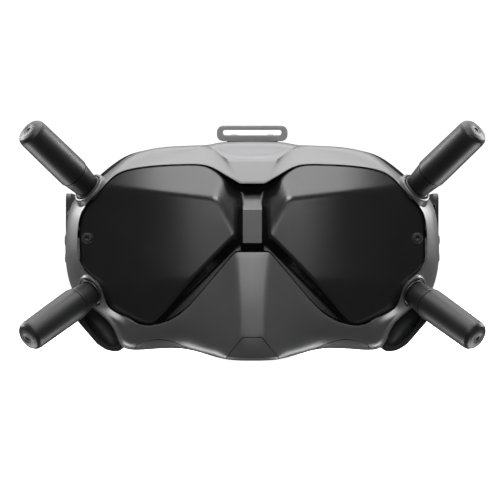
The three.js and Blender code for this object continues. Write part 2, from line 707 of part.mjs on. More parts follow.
// The direction away from the face opening at each point of the face line.
function faceOutward(spoke) {
  const before = FACE_LINE[Math.max(spoke - 1, 0)];
  const after = FACE_LINE[Math.min(spoke + 1, LAST_SPOKE)];
  const along = [after[0] - before[0], after[1] - before[1]];
  const length = Math.hypot(...along);
  if (spoke === 0) return [0, 1];
  if (spoke === LAST_SPOKE) return [0, -1];
  return [-along[1] / length, along[0] / length];
}

function facePoint(spoke, outward, depth) {
  const [x, z] = FACE_LINE[spoke];
  const [nx, nz] = faceOutward(spoke);
  return [x + nx * outward, faceDepth(x) + depth, z + nz * outward];
}

function faceFrame() {
  const half = HOUSING_SPOKES.map((spoke, i) => {
    const [x, y, z] = spoke[2];
    const start = [x, y + 0.4, z];
    const outer = facePoint(i, FLANGE_OUT, 0);
    const inward = facePoint(i, FLANGE_OUT - WALL, -WALL);
    const shift = [inward[0] - outer[0], 0, inward[2] - outer[2]];
    const startInner = [x + shift[0], y + 0.4, z + shift[2]];
    return [start, outer, facePoint(i, -FLANGE_IN, 0), facePoint(i, -FLANGE_IN, -WALL), inward, startInner];
  });
  const net = wholeNet(half, () => ({ along: 3, across: 0 }));
  const frame = solidOf(ringGeometry(refined(net)));
  return frame.subtract(solidOf(box([300, 300, 20], [0, 0, -10])));
}

function foamPadding() {
  const half = FACE_LINE.map((_, i) => [
    facePoint(i, 5.6, 0.5), facePoint(i, 6.2, 6), facePoint(i, 5.2, 11), facePoint(i, 2, 14),
    facePoint(i, -2, 14), facePoint(i, -5.2, 11), facePoint(i, -6.2, 6), facePoint(i, -5.4, 0.5),
  ]);
  const net = wholeNet(half, () => ({ along: 0, across: 0 }));
  return solidOf(ringGeometry(relaxed(net)));
}

// ---------- Optics ----------

const SHROUD_OUTLINE = [
  [0, 98], [26, 97.5], [46, 96], [58, 92], [68, 86.5], [76, 78], [80.5, 67], [81.5, 57], [80.5, 47],
  [77, 37], [72, 29.5], [64, 22], [57, 14.5], [50, 11.5], [40, 12], [31, 17], [23, 27], [14, 39], [0, 43.5],
];
const SHROUD = { front: 13, back: 15 };
const ROD_OFFSET = 23;          // guide rods above and below the optical axes
const ROD_DEPTH = 4;
const ROD_RADIUS = 1.5;
const ROD_HALF_LENGTH = 66;
const POST_X = 61.5;            // where the rods are held

function lensShroud() {
  const holes = [1, -1].map((side) => (
    stadium(side * HALF_IPD, EYE_HEIGHT, IPD_TRAVEL + 0.2, BARREL_RADIUS + 0.5, 12)
  ));
  return plateXZ(mirrored(SHROUD_OUTLINE), SHROUD.front, SHROUD.back, holes);
}

function lensBarrel(side) {
  const body = solidOf(aimed(
    tube(BARREL_RADIUS, BARREL_RADIUS - 2, BARREL_FRONT, BARREL_BACK, 28),
    TOWARD_FACE,
    [0, 0, 0],
  ));
  const flange = solidOf(box([46, 2, 38], [0, BARREL_FRONT - 1 + 0.01, 0]));
  const aperture = solidOf(aimed(rod(15, -12, -6, 28), TOWARD_FACE, [0, 0, 0]));
  let barrel = body.add(flange).subtract(aperture);
  for (const up of [1, -1]) {
    const lug = solidOf(box([12, 6, 9], [0, ROD_DEPTH, up * (ROD_OFFSET - 1.6)]));
    const bore = solidOf(aimed(rod(BARREL_RADIUS - 2, -10, 30, 28), TOWARD_FACE, [0, 0, 0]));
    const slide = rod(ROD_RADIUS + 0.1, -20, 20, 12);
    const rodHole = solidOf(aimed(slide, [1, 0, 0], [0, ROD_DEPTH, up * ROD_OFFSET]));
    barrel = barrel.add(lug.subtract(bore)).subtract(rodHole);
  }
  return geometryOf(barrel).translate(side * HALF_IPD, 0, EYE_HEIGHT);
}

// A stem from the lower lug down through the slot under the goggles, with a grip at its end.
function ipdKnob(side) {
  const top = EYE_HEIGHT - ROD_OFFSET - 2.9 - GAP;
  const stem = solidOf(box([5, 3.4, top - 5], [0, KNOB.depth, (top + 5) / 2]));
  const grip = solidOf(box([KNOB.width, KNOB.thickness, 3.4], [0, KNOB.depth, KNOB.bottom + 1.7]));
  return geometryOf(stem.add(grip)).translate(side * HALF_IPD, 0, 0);
}

function lens(side) {
  const profile = [[0, -4]];
  const edge = BARREL_RADIUS - 2 - GAP;
  for (let i = 1; i <= 4; i++) profile.push([(edge * i) / 4, -4 + 2.6 * (i / 4) ** 2]);
  for (let i = 4; i >= 1; i--) profile.push([(edge * i) / 4, 4 - 2.6 * (i / 4) ** 2]);
  profile.push([0, 4]);
  return aimed(turned(profile, 24), TOWARD_FACE, [side * HALF_IPD, 12, EYE_HEIGHT]);
}

function displayModule(side) {
  const panel = solidOf(box([44, 2.8, 36], [0, -10.7, 0]));
  const window = solidOf(box([36, 1, 28], [0, -9.3, 0]));
  return geometryOf(panel.subtract(window)).translate(side * HALF_IPD, 0, EYE_HEIGHT);
}

function guideRod(up) {
  const round = rod(ROD_RADIUS, -ROD_HALF_LENGTH, ROD_HALF_LENGTH, 16);
  return aimed(round, [1, 0, 0], [0, ROD_DEPTH, EYE_HEIGHT + up * ROD_OFFSET]);
}

// ---------- Chassis and electronics ----------

const FRAME_PLATE = { front: -4, back: -1.5 };
const BOARD = { front: -18, back: -16.4, halfWidth: 64, halfHeight: 23 };
const FAN = { centre: [0, -17, 92.5], half: 12, height: 7, bladeRadius: 9.8, hubRadius: 4.2 };

function midFrame() {
  const outline = [
    [0, 97], [40, 96.5], [58, 92], [68, 86], [76, 77], [79, 66], [79.5, 57], [79, 47],
    [75, 36], [69, 28], [60, 20], [52, 14.5], [36, 14.5], [20, 16], [0, 16],
  ];
  const window = [[58, 30.5], [58, 89.5], [-58, 89.5], [-58, 30.5]];
  let plate = solidOf(plateXZ(mirrored(outline), FRAME_PLATE.front, FRAME_PLATE.back, [window]));
  for (const side of [1, -1]) {
    for (const up of [1, -1]) {
      const height = EYE_HEIGHT + up * ROD_OFFSET;
      const post = solidOf(box([6, 9.5, 8], [side * POST_X, ROD_DEPTH - 1.2, height]));
      const bore = rod(ROD_RADIUS + GAP, -6, 6, 12);
      const hole = solidOf(aimed(bore, [1, 0, 0], [side * POST_X, ROD_DEPTH, height]));
      const pillar = rod(2.4, -16, -3, 12);
      const standoff = solidOf(aimed(pillar, TOWARD_FACE, [side * POST_X, 0, EYE_HEIGHT + up * 19]));
      plate = plate.add(post).subtract(hole).add(standoff);
    }
    const ear = solidOf(box([9, FRAME_PLATE.back - FRAME_PLATE.front, 7], [side * 80, -2.75, VISOR_SCREW.z]));
    const seatBack = -visorForward(VISOR_SCREW.x, VISOR_SCREW.z) + VISOR_THICKNESS + 1.2;
    const place = [side * VISOR_SCREW.x, 0, VISOR_SCREW.z];
    const column = rod(2.6, seatBack, -3, 12).rotateX(-Math.PI / 2).translate(...place);
    const bore = rod(VISOR_SCREW.shaftRadius + 0.2, -40, -8, 12).rotateX(-Math.PI / 2).translate(...place);
    plate = plate.add(ear).add(solidOf(column)).subtract(solidOf(bore));
  }
  return plate;
}

function heatSink() {
  let sink = solidOf(box([70, 1.5, 34], [0, BOARD.front - GAP - 0.75, EYE_HEIGHT]));
  const fins = 8;
  for (let i = 0; i < fins; i++) {
    const x = -32 + (64 * i) / (fins - 1);
    sink = sink.add(solidOf(box([1.4, 7, 32], [x, BOARD.front - GAP - 4.9, EYE_HEIGHT])));
  }
  return sink;
}

function fanFrame() {
  const { half, height, bladeRadius } = FAN;
  const block = solidOf(box([2 * half, 2 * half, height], [0, 0, 0]));
  const duct = solidOf(rod(bladeRadius + 0.8, -height / 2 + 1, height, 28));
  const holes = solidOf(tube(bladeRadius - 1, 5.4, -height, 0, 28));
  const spider = solidOf(box([2 * half, 2, 1], [0, 0, -height / 2 + 0.5]))
    .add(solidOf(box([2, 2 * half, 1], [0, 0, -height / 2 + 0.5])));
  const axle = solidOf(rod(1, -height / 2, 1.6, 12));
  return geometryOf(block.subtract(duct).subtract(holes).add(spider.intersect(block)).add(axle))
    .translate(...FAN.centre);
}

function fanRotor() {
  const { hubRadius, bladeRadius } = FAN;
  let rotor = solidOf(rod(hubRadius, -2, 2.6, 20)).subtract(solidOf(rod(1.2, -3, 2, 12)));
  const blades = 7;
  for (let i = 0; i < blades; i++) {
    const blade = new THREE.BoxGeometry(bladeRadius - hubRadius + 0.8, 0.8, 5.2);
    blade.rotateX(degrees(38)).translate((bladeRadius + hubRadius - 0.8) / 2, 0, 0.3);
    rotor = rotor.add(solidOf(blade.rotateZ((2 * Math.PI * i) / blades)));
  }
  return geometryOf(rotor).translate(...FAN.centre);
}

function intakeGrille() {
  const { halfWidth, front, back } = INTAKE;
  const width = 2 * (halfWidth - GAP);
  const length = back - front - 2 * GAP;
  const middle = (front + back) / 2;
  let grille = solidOf(box([width, length, 1.6], [0, middle, 108.2]));
  const slots = 6;
  for (let i = 0; i < slots; i++) {
    const y = front + 2.6 + ((back - front - 5.2) * i) / (slots - 1);
    grille = grille.subtract(solidOf(box([width - 4, 1.6, 4], [0, y, 108.2])));
  }
  return grille;
}

// ---------- Controls in the side panels ----------

const PANEL_FACE_X = 94.2;      // the side wall's outermost skin
const JOYSTICK = { depth: SIDE_PANEL.depth, height: 71, holeRadius: 4.6 };
const RECORD_BUTTON = { depth: SIDE_PANEL.depth, height: 59.5, radius: 3 };
const BACK_BUTTON = { depth: SIDE_PANEL.depth, height: 50.5, radius: 2.6 };
const CHANNEL_WINDOW = { height: 72, halfWidth: 4, halfHeight: 5.6 };
const CHANNEL_UP = { depth: SIDE_PANEL.depth, height: 59.5, radius: 2.6 };
const CHANNEL_DOWN = { depth: SIDE_PANEL.depth, height: 51, radius: 2.6 };

function sidePanel(side) {
  let panel = coverSolid.intersect(sidePanelPrism(side, -0.15));
  const outward = [side, 0, 0];
  const drill = (radius, depth, height) => {
    panel = panel.subtract(solidOf(aimed(rod(radius, -10, 10, 20), outward, [side * 90, depth, height])));
  };
  if (side > 0) {
    drill(CHANNEL_UP.radius + GAP, CHANNEL_UP.depth, CHANNEL_UP.height);
    drill(CHANNEL_DOWN.radius + GAP, CHANNEL_DOWN.depth, CHANNEL_DOWN.height);
    const { height, halfWidth, halfHeight } = CHANNEL_WINDOW;
    const opening = box([30, 2 * (halfWidth + GAP), 2 * (halfHeight + GAP)], [90, SIDE_PANEL.depth, height]);
    panel = panel.subtract(solidOf(opening));
  } else {
    drill(JOYSTICK.holeRadius, JOYSTICK.depth, JOYSTICK.height);
    drill(RECORD_BUTTON.radius + GAP, RECORD_BUTTON.depth, RECORD_BUTTON.height);
    drill(BACK_BUTTON.radius + GAP, BACK_BUTTON.depth, BACK_BUTTON.height);
  }
  return panel;
}

// A round push button along X, with a collar inside the wall that keeps it captive.
function sideButton(side, { depth, height, radius }, face) {
  const button = turned([
    [0, -5.5], [radius + 1.2, -5.5], [radius + 1.2, -4.4], [radius, -4.4],
    [radius, -0.4], [radius - 0.5, 0], [0, 0],
  ], 20);
  return aimed(button, [side, 0, 0], [side * face, depth, height]);
}

function channelDisplay() {
  const { height, halfWidth, halfHeight } = CHANNEL_WINDOW;
  return box([2.4, 2 * halfWidth, 2 * halfHeight], [91.1, SIDE_PANEL.depth, height]);
}

// The five-way control: a base ring, a gimbal ring, a stem and a domed cap.
const STICK_PIVOT = [-87.2, JOYSTICK.depth, JOYSTICK.height];

function stickBase() {
  const cup = tube(5.2, 4.2, -3.4, 1.2, 20);
  const floor = rod(5.2, -4.4, -3.2, 20);
  return aimed(geometryOf(solidOf(cup).add(solidOf(floor))), [-1, 0, 0], STICK_PIVOT);
}

function stickGimbal() {
  return aimed(tube(3.4, 2.4, -0.7, 0.7, 20), [-1, 0, 0], STICK_PIVOT);
}

function stickStem() {
  return aimed(rod(1, -1.8, 1.7, 16), [-1, 0, 0], STICK_PIVOT);
}

function stickCap() {
  const cap = turned([
    [0, 2.2], [1.4, 2.2], [1.4, 4.1], [3.4, 4.3], [3.7, 5.2], [3.3, 5.9], [2.2, 6.2], [1.2, 6], [0, 5.9],
  ], 24);
  return aimed(cap, [-1, 0, 0], STICK_PIVOT);
}

// ---------- Sockets ----------

function jack(spec, pinRadius) {
  const barrel = solidOf(rod(spec.radius, -spec.length, 0.6, 20));
  const bore = solidOf(rod(spec.bore, -spec.length + 2, 3, 16));
  const body = barrel.subtract(bore);
  const whole = pinRadius ? body.add(solidOf(rod(pinRadius, -spec.length + 1, -1.2, 10))) : body;
  return aimed(geometryOf(whole), bayNormal(1), bayPoint(1, spec.depth));
}

function usbPort() {
  const shell = solidOf(bayBlock(-1, USB_PORT.depth, USB_PORT.width, USB_PORT.height, -9, -1.8));
  const cavity = solidOf(bayBlock(-1, USB_PORT.depth, 3.2, 8.9, -7.5, 2));
  const tongue = solidOf(bayBlock(-1, USB_PORT.depth, 0.8, 6.6, -8, -2.8));
  return shell.subtract(cavity).add(tongue);
}

function cardReader() {
  const shell = solidOf(bayBlock(-1, CARD_SLOT.depth, CARD_SLOT.width, CARD_SLOT.height, -9, -1.8));
  return shell.subtract(solidOf(bayBlock(-1, CARD_SLOT.depth, 1.4, 11.4, -7.5, 2)));
}

function portCover() {
  const middle = (FLAP.front + FLAP.back) / 2;
  const flap = solidOf(bayBlock(-1, middle, FLAP.back - FLAP.front, FLAP.length, FLAP.bottom, FLAP.top));
  const along = [BAY_FACE.normal[2], 0, BAY_FACE.normal[0]];
  const pin = rod(FLAP.knuckleRadius, -FLAP.length / 2, FLAP.length / 2, 16);
  const knuckle = aimed(pin, along, bayPoint(-1, FLAP.hingeDepth, FLAP.hingeHeight));
  return flap.add(solidOf(knuckle));
}

function linkButton() {
  const button = turned([[0, 3.4], [LINK_BUTTON.radius - 0.4, 3.4], [LINK_BUTTON.radius, 3.8],
    [LINK_BUTTON.radius, 7], [0, 7]], 16);
  return button.translate(LINK_BUTTON.x, LINK_BUTTON.depth, 0);
}

// ---------- Strap fittings ----------


function roundedRect(halfWidth, bottom, top, radius) {
  const shape = new THREE.Shape();
  shape.moveTo(-halfWidth + radius, bottom);
  shape.lineTo(halfWidth - radius, bottom);
  shape.absarc(halfWidth - radius, bottom + radius, radius, -Math.PI / 2, 0);
  shape.lineTo(halfWidth, top - radius);
  shape.absarc(halfWidth - radius, top - radius, radius, 0, Math.PI / 2);
  shape.lineTo(-halfWidth + radius, top);
  shape.absarc(-halfWidth + radius, top - radius, radius, Math.PI / 2, Math.PI);
  shape.lineTo(-halfWidth, bottom + radius);
  shape.absarc(-halfWidth + radius, bottom + radius, radius, Math.PI, Math.PI * 1.5);
  return shape;
}

function topStrapLoop() {
  const { halfWidth, height, bar, depth, corner, lean, front, bottom } = LOOP;
  const extrude = { depth, bevelEnabled: false, curveSegments: 4 };
  const outer = new THREE.ExtrudeGeometry(roundedRect(halfWidth, 0, height, corner), extrude);
  const slot = roundedRect(halfWidth - bar - 1, bar + 0.7, height - bar, 1.2);
  const inner = new THREE.ExtrudeGeometry(slot, { ...extrude, depth: depth + 4 }).translate(0, 0, -2);
  const ring = geometryOf(solidOf(outer).subtract(solidOf(inner)));
  ring.rotateX(Math.PI / 2).rotateX(degrees(lean)).translate(0, front + depth, bottom);
  const tongueLength = LOOP.hingeDepth - front - 2;
  const tongueMiddle = [0, front + 2 + tongueLength / 2, LOOP.hingeHeight - 0.5];
  const tongue = box([2 * LOOP.knuckleHalf, tongueLength, 1.8], tongueMiddle);
  const barrel = rod(2.1, -LOOP.knuckleHalf, LOOP.knuckleHalf, 16);
  const knuckle = aimed(barrel, [1, 0, 0], [0, LOOP.hingeDepth, LOOP.hingeHeight]);
  const pinHole = aimed(rod(1.1, -20, 20, 12), [1, 0, 0], [0, LOOP.hingeDepth, LOOP.hingeHeight]);
  return solidOf(ring).add(solidOf(tongue)).add(solidOf(knuckle)).subtract(solidOf(pinHole));
}

// The two ears that hold the loop's pin, standing on the rear housing's top wall.
function loopEars() {
  const { hingeDepth, hingeHeight, knuckleHalf } = LOOP;
  let bracket = solidOf(box([26, 5.2, 1.6], [0, hingeDepth + 0.2, 108.2]));
  for (const side of [1, -1]) {
    const x = side * (knuckleHalf + 2.3);
    const ear = solidOf(box([3.4, 5.2, 4.6], [x, hingeDepth, 109.8]));
    const round = solidOf(aimed(rod(2.6, -1.7, 1.7, 16), [1, 0, 0], [x, hingeDepth, hingeHeight]));
    bracket = bracket.add(ear).add(round);
  }
  const hole = aimed(rod(1.1, -20, 20, 12), [1, 0, 0], [0, hingeDepth, hingeHeight]);
  return bracket.subtract(solidOf(hole));
}

function loopPin() {
  return aimed(rod(1, -11.2, 11.2, 12), [1, 0, 0], [0, LOOP.hingeDepth, LOOP.hingeHeight]);
}


function sideStrapArm(side) {
  const { x, thickness, front, back, height, halfHeight } = STRAP_ARM;
  const length = back - front;
  const middle = [x + thickness / 2, (front + back) / 2, height];
  const plate = solidOf(box([thickness, length, 2 * halfHeight], middle));
  const slot = solidOf(box([20, 5, 22], [x, back - 5.5, height]));
  const foot = solidOf(box([8, 9, 20], [x - 3, front + 4.6, height - 2]));
  let arm = plate.subtract(slot).add(foot).subtract(housingSolid.hull().translate([GAP, 0, 0]));
  for (const peg of STRAP_ARM.pegs) {
    const pin = aimed(rod(STRAP_ARM.pegRadius, -8, 2, 14), [1, 0, 0], [x, STRAP_ARM.pegDepth, peg]);
    arm = arm.add(solidOf(pin));
  }
  return geometryOf(arm);
}

// ---------- Antennas ----------

function antennaConnector() {
  const flange = solidOf(turned([
    [0, -BOSS.recess + 0.1], [ANTENNA.flangeRadius, -BOSS.recess + 0.1],
    [ANTENNA.flangeRadius, -0.1], [ANTENNA.flangeRadius - 0.4, 0.3], [0, 0.3],
  ], 20));
  const barrel = solidOf(rod(ANTENNA.boltRadius, -3.2, 7.5, 16));
  return geometryOf(flange.add(barrel));
}

function antennaNeck() {
  const { neckBaseRadius, neckLength, tubeRadius, boltRadius } = ANTENNA;
  return turned([
    [boltRadius + 0.1, 0.6], [neckBaseRadius - 0.3, 0.6], [neckBaseRadius, 1],
    [tubeRadius - 0.5, neckLength - 1], [tubeRadius - 0.3, neckLength - 0.2],
    [0, neckLength - 0.2], [0, 8], [boltRadius + 0.1, 8], [boltRadius + 0.1, 0.6],
  ], 20);
}

function antennaSleeve() {
  const { neckLength, tubeRadius, tubeTipRadius, totalLength, endRound } = ANTENNA;
  const foot = neckLength + 0.1;
  const profile = [[0, foot], [tubeRadius - 0.3, foot], [tubeRadius, foot + 0.4]];
  const steps = 3;
  for (let i = 0; i <= steps; i++) {
    const angle = (Math.PI / 2) * (i / steps);
    profile.push([
      tubeTipRadius - endRound * (1 - Math.cos(angle)),
      totalLength - endRound * (1 - Math.sin(angle)),
    ]);
  }
  profile.push([1, totalLength], [1, totalLength - 0.8], [0, totalLength - 0.8]);
  return turned(profile, 20);
}

// ---------- Assembly ----------

const goggles = new THREE.Group();

function add(name, piece, look, parent = goggles) {
  const geometry = piece.isBufferGeometry ? piece : geometryOf(piece);
  const mesh = new THREE.Mesh(geometry, look);
  mesh.name = name;
  parent.add(mesh);
}

add('front_cover', mainBody(frontCover()), material.greyPaint);
add('nose_insert', mainBody(coverSolid.intersect(insertPrism(-0.15))), material.greyPaint);
add('visor_panel', visorPanel(), material.darkVisor);
add('rear_housing', housingSolid, material.blackPlastic);
add('face_frame', faceFrame(), material.blackPlastic);
add('foam_padding', foamPadding(), material.foam);
add('lens_shroud', lensShroud(), material.blackPlastic);
add('mid_frame', midFrame(), material.aluminium);
add('main_board', box(
  [2 * BOARD.halfWidth, BOARD.back - BOARD.front, 2 * BOARD.halfHeight],
  [0, (BOARD.front + BOARD.back) / 2, EYE_HEIGHT],
), material.circuit);
add('heat_sink', heatSink(), material.aluminium);
add('fan_frame', fanFrame(), material.blackPlastic);
add('fan_rotor', fanRotor(), material.blackPlastic);
add('intake_grille', intakeGrille(), material.blackPlastic);
add('upper_guide_rod', guideRod(1), material.steel);
add('lower_guide_rod', guideRod(-1), material.steel);

for (const [name, side] of SIDES) {
  add(`lower_trim_${name}`, mainBody(coverSolid.intersect(trimPrism(side, -0.15))), material.greyPaint);
  add(`visor_screw_${name}`, visorScrew(side), material.steel);
  add(`side_panel_${name}`, mainBody(sidePanel(side)), material.blackPlastic);
  add(`lens_barrel_${name}`, lensBarrel(side), material.blackPlastic);
  add(`lens_${name}`, lens(side), material.glass);
  add(`display_${name}`, displayModule(side), material.screen);
  add(`ipd_knob_${name}`, ipdKnob(side), material.rubber);
  const arm = sideStrapArm(side);
  add(`strap_arm_${name}`, side > 0 ? arm : mirrorX(arm), material.blackPlastic);
  for (const corner of CORNERS) {
    const antenna = new THREE.Group();
    antenna.position.set(...antennaSeat(corner, side));
    antenna.quaternion.setFromUnitVectors(
      new THREE.Vector3(0, 0, 1),
      new THREE.Vector3(...antennaAxis(corner, side)),
    );
    goggles.add(antenna);
    const label = `${corner.name}_${name}`;
    add(`antenna_connector_${label}`, antennaConnector(), material.darkMetal, antenna);
    add(`antenna_neck_${label}`, antennaNeck(), material.blackPlastic, antenna);
    add(`antenna_sleeve_${label}`, antennaSleeve(), material.blackPlastic, antenna);
  }
}

add('channel_display', channelDisplay(), material.screen);
add('channel_up_button', sideButton(1, CHANNEL_UP, PANEL_FACE_X + 0.4), material.rubber);
add('channel_down_button', sideButton(1, CHANNEL_DOWN, PANEL_FACE_X + 0.3), material.rubber);
add('record_button', sideButton(-1, RECORD_BUTTON, PANEL_FACE_X + 0.4), material.rubber);
add('back_button', sideButton(-1, BACK_BUTTON, PANEL_FACE_X + 0.3), material.rubber);
add('stick_base', stickBase(), material.blackPlastic);
add('stick_gimbal', stickGimbal(), material.steel);
add('stick_stem', stickStem(), material.steel);
add('stick_cap', stickCap(), material.rubber);
add('power_jack', jack(POWER_JACK, 1), material.steel);
add('audio_jack', jack(AUDIO_JACK, 0), material.steel);
add('usb_port', usbPort(), material.steel);
add('card_reader', cardReader(), material.steel);
add('port_cover', portCover(), material.rubber);
add('link_button', linkButton(), material.rubber);
add('top_strap_loop', topStrapLoop(), material.lightPlastic);
add('loop_pin', loopPin(), material.steel);

export default goggles;
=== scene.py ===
import json
import math

import bmesh
import bpy
import numpy as np
from mathutils import Matrix, Vector


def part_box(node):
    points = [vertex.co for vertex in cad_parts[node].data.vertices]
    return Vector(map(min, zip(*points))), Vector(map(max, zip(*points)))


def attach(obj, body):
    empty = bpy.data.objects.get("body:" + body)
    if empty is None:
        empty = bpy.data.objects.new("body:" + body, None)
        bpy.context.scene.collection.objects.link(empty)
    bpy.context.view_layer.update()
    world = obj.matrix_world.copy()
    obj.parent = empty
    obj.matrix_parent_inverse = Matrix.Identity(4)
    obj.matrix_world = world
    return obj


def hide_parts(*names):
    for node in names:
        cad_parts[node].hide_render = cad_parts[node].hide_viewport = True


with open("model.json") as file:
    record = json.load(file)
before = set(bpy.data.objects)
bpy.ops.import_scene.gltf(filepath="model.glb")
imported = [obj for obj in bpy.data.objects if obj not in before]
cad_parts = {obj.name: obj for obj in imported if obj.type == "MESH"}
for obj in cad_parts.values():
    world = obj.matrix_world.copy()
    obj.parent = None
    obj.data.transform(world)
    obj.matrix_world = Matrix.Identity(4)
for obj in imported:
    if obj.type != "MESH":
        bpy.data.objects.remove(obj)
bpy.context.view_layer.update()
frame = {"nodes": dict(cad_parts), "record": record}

# Lengths are in millimetres until a mesh is made; the frame is in metres.
MM = 0.001
SCENE = bpy.context.scene
NODES = frame["nodes"]
SIDES = (("left", 1), ("right", -1))

# ---------------------------------------------------------------- camera

CAMERA_DISTANCE = 850.0
CAMERA_PLANE = -28.0
VIEW_WIDTH = 245.0
SENSOR = 36.0

camera = bpy.data.objects.new("camera", bpy.data.cameras.new("camera"))
SCENE.collection.objects.link(camera)
SCENE.camera = camera
camera.data.sensor_width = SENSOR
camera.data.lens = SENSOR * CAMERA_DISTANCE / VIEW_WIDTH
camera.location = Vector((-1.13, CAMERA_PLANE - CAMERA_DISTANCE, 54.6)) * MM
camera.rotation_euler = (math.radians(90), 0, 0)
camera.data.clip_start = 0.01
camera.data.clip_end = 20


# ---------------------------------------------------------------- materials

def new_material(name):
    mat = bpy.data.materials.new(name)
    mat.use_nodes = True
    tree = mat.node_tree
    return mat, tree, tree.nodes["Principled BSDF"]


def node(tree, kind, **inputs):
    made = tree.nodes.new(kind)
    for key, value in inputs.items():
        made.inputs[key.replace("_", " ")].default_value = value
    return made


def noise(tree, coords, scale, detail=3.0, roughness=0.55):
    made = node(tree, "ShaderNodeTexNoise", Scale=scale, Detail=detail, Roughness=roughness)
    tree.links.new(coords, made.inputs["Vector"])
    return made.outputs["Fac"]


def remap(tree, value, low, high):
    made = tree.nodes.new("ShaderNodeMapRange")
    made.inputs["From Min"].default_value = 0.3
    made.inputs["From Max"].default_value = 0.7
    made.inputs["To Min"].default_value = low
    made.inputs["To Max"].default_value = high
    tree.links.new(value, made.inputs["Value"])
    return made.outputs["Result"]


def tinted(tree, value, low, high):
    ramp = tree.nodes.new("ShaderNodeValToRGB")
    ramp.color_ramp.elements[0].position = 0.3
    ramp.color_ramp.elements[1].position = 0.7
    ramp.color_ramp.elements[0].color = (*low, 1)
    ramp.color_ramp.elements[1].color = (*high, 1)
    tree.links.new(value, ramp.inputs["Fac"])
    return ramp.outputs["Color"]


def bumped(tree, shader, height, strength, distance):
    bump = node(tree, "ShaderNodeBump", Strength=strength, Distance=distance)
    tree.links.new(height, bump.inputs["Height"])
    tree.links.new(bump.outputs["Normal"], shader.inputs["Normal"])
    return bump


def surface(name, low, high, rough, grain, bump, metallic=0.0, mottle=60.0, **sockets):
    """A moulded, painted or turned surface: slow colour and gloss variation over a fine grain."""
    mat, tree, shader = new_material(name)
    coords = tree.nodes.new("ShaderNodeTexCoord").outputs["Object"]
    slow = noise(tree, coords, mottle)
    tree.links.new(tinted(tree, slow, low, high), shader.inputs["Base Color"])
    tree.links.new(remap(tree, slow, rough[0], rough[1]), shader.inputs["Roughness"])
    bumped(tree, shader, noise(tree, coords, grain, 2.0), bump, 0.0001)
    shader.inputs["Metallic"].default_value = metallic
    for key, value in sockets.items():
        shader.inputs[key.replace("_", " ")].default_value = value
    return mat


def grey(value):
    return (value, value, value * 1.02)


def fabric_material():
    """Knitted cloth over foam: rows of small stitches with a soft nap."""
    mat, tree, shader = new_material("foam_cloth")
    coords = tree.nodes.new("ShaderNodeTexCoord").outputs["Object"]
    stitches = tree.nodes.new("ShaderNodeTexVoronoi")
    stitches.inputs["Scale"].default_value = 950.0
    stitches.inputs["Randomness"].default_value = 0.35
    tree.links.new(coords, stitches.inputs["Vector"])
    patches = noise(tree, coords, 45.0)
    tree.links.new(tinted(tree, patches, grey(0.012), grey(0.024)), shader.inputs["Base Color"])
    shader.inputs["Roughness"].default_value = 0.92
    shader.inputs["Sheen Weight"].default_value = 0.35
    shader.inputs["Sheen Roughness"].default_value = 0.45
    bumped(tree, shader, stitches.outputs["Distance"], 0.7, 0.0004)
    return mat


def glass_material():
    """A coated eyepiece lens."""
    mat, tree, shader = new_material("lens_coating")
    coords = tree.nodes.new("ShaderNodeTexCoord").outputs["Object"]
    tint = tinted(tree, noise(tree, coords, 30.0), (0.05, 0.045, 0.08), (0.035, 0.06, 0.075))
    tree.links.new(tint, shader.inputs["Base Color"])
    shader.inputs["Roughness"].default_value = 0.04
    shader.inputs["Coat Weight"].default_value = 1.0
    shader.inputs["Coat Roughness"].default_value = 0.03
    shader.inputs["Coat Tint"].default_value = (0.75, 0.65, 1.0, 1.0)
    return mat


LOOKS = {
    "grey_paint": surface(
        "satin_grey_paint", grey(0.098), grey(0.110), (0.32, 0.38), 2600.0, 0.08, metallic=0.35,
    ),
    "visor_plastic": surface(
        "smoked_visor", grey(0.006), grey(0.008), (0.22, 0.25), 1800.0, 0.03, Specular_IOR_Level=1.0,
    ),
    "black_plastic": surface("textured_black", grey(0.010), grey(0.016), (0.42, 0.52), 3200.0, 0.35),
    "antenna_plastic": surface("antenna_black", grey(0.009), grey(0.013), (0.42, 0.48), 2600.0, 0.08),
    "rubber": surface("soft_rubber", grey(0.010), grey(0.014), (0.6, 0.7), 2400.0, 0.25),
    "light_plastic": surface("light_grey_plastic", grey(0.30), grey(0.35), (0.28, 0.34), 2600.0, 0.12),
    "screw_metal": surface("blacked_screw", grey(0.02), grey(0.03), (0.3, 0.4), 1500.0, 0.1, 0.5),
    "dark_metal": surface("blackened_metal", grey(0.06), grey(0.08), (0.34, 0.44), 1500.0, 0.1, 0.6),
    "steel": surface("turned_steel", grey(0.35), grey(0.45), (0.28, 0.4), 1500.0, 0.1, 1.0),
    "aluminium": surface("blasted_aluminium", grey(0.5), grey(0.6), (0.45, 0.55), 2200.0, 0.2, 1.0),
    "circuit_board": surface("solder_mask", (0.005, 0.04, 0.012), (0.01, 0.07, 0.02), (0.4, 0.5), 400.0, 0.3),
    "screen": surface("display_glass", grey(0.004), grey(0.006), (0.08, 0.12), 800.0, 0.02),
    "foam_fabric": fabric_material(),
    "lens_glass": glass_material(),
}


# ---------------------------------------------------------------- mesh tools

def mesh_object(name, points, faces, scale=MM):
    data = bpy.data.meshes.new(name)
    data.from_pydata((np.asarray(points, float).reshape(-1, 3) * scale).tolist(), [], faces)
    data.update()
    made = bpy.data.objects.new(name, data)
    SCENE.collection.objects.link(made)
    return made


def edited(obj, change):
    """Applies a bmesh change to an object's mesh."""
    bm = bmesh.new()
    bm.from_mesh(obj.data)
    change(bm)
    bm.to_mesh(obj.data)
    bm.free()
    obj.data.update()
    return obj


def welded(obj, distance=1e-6):
    def change(bm):
        bmesh.ops.remove_doubles(bm, verts=bm.verts, dist=distance)
        bmesh.ops.recalc_face_normals(bm, faces=bm.faces)
    return edited(obj, change)


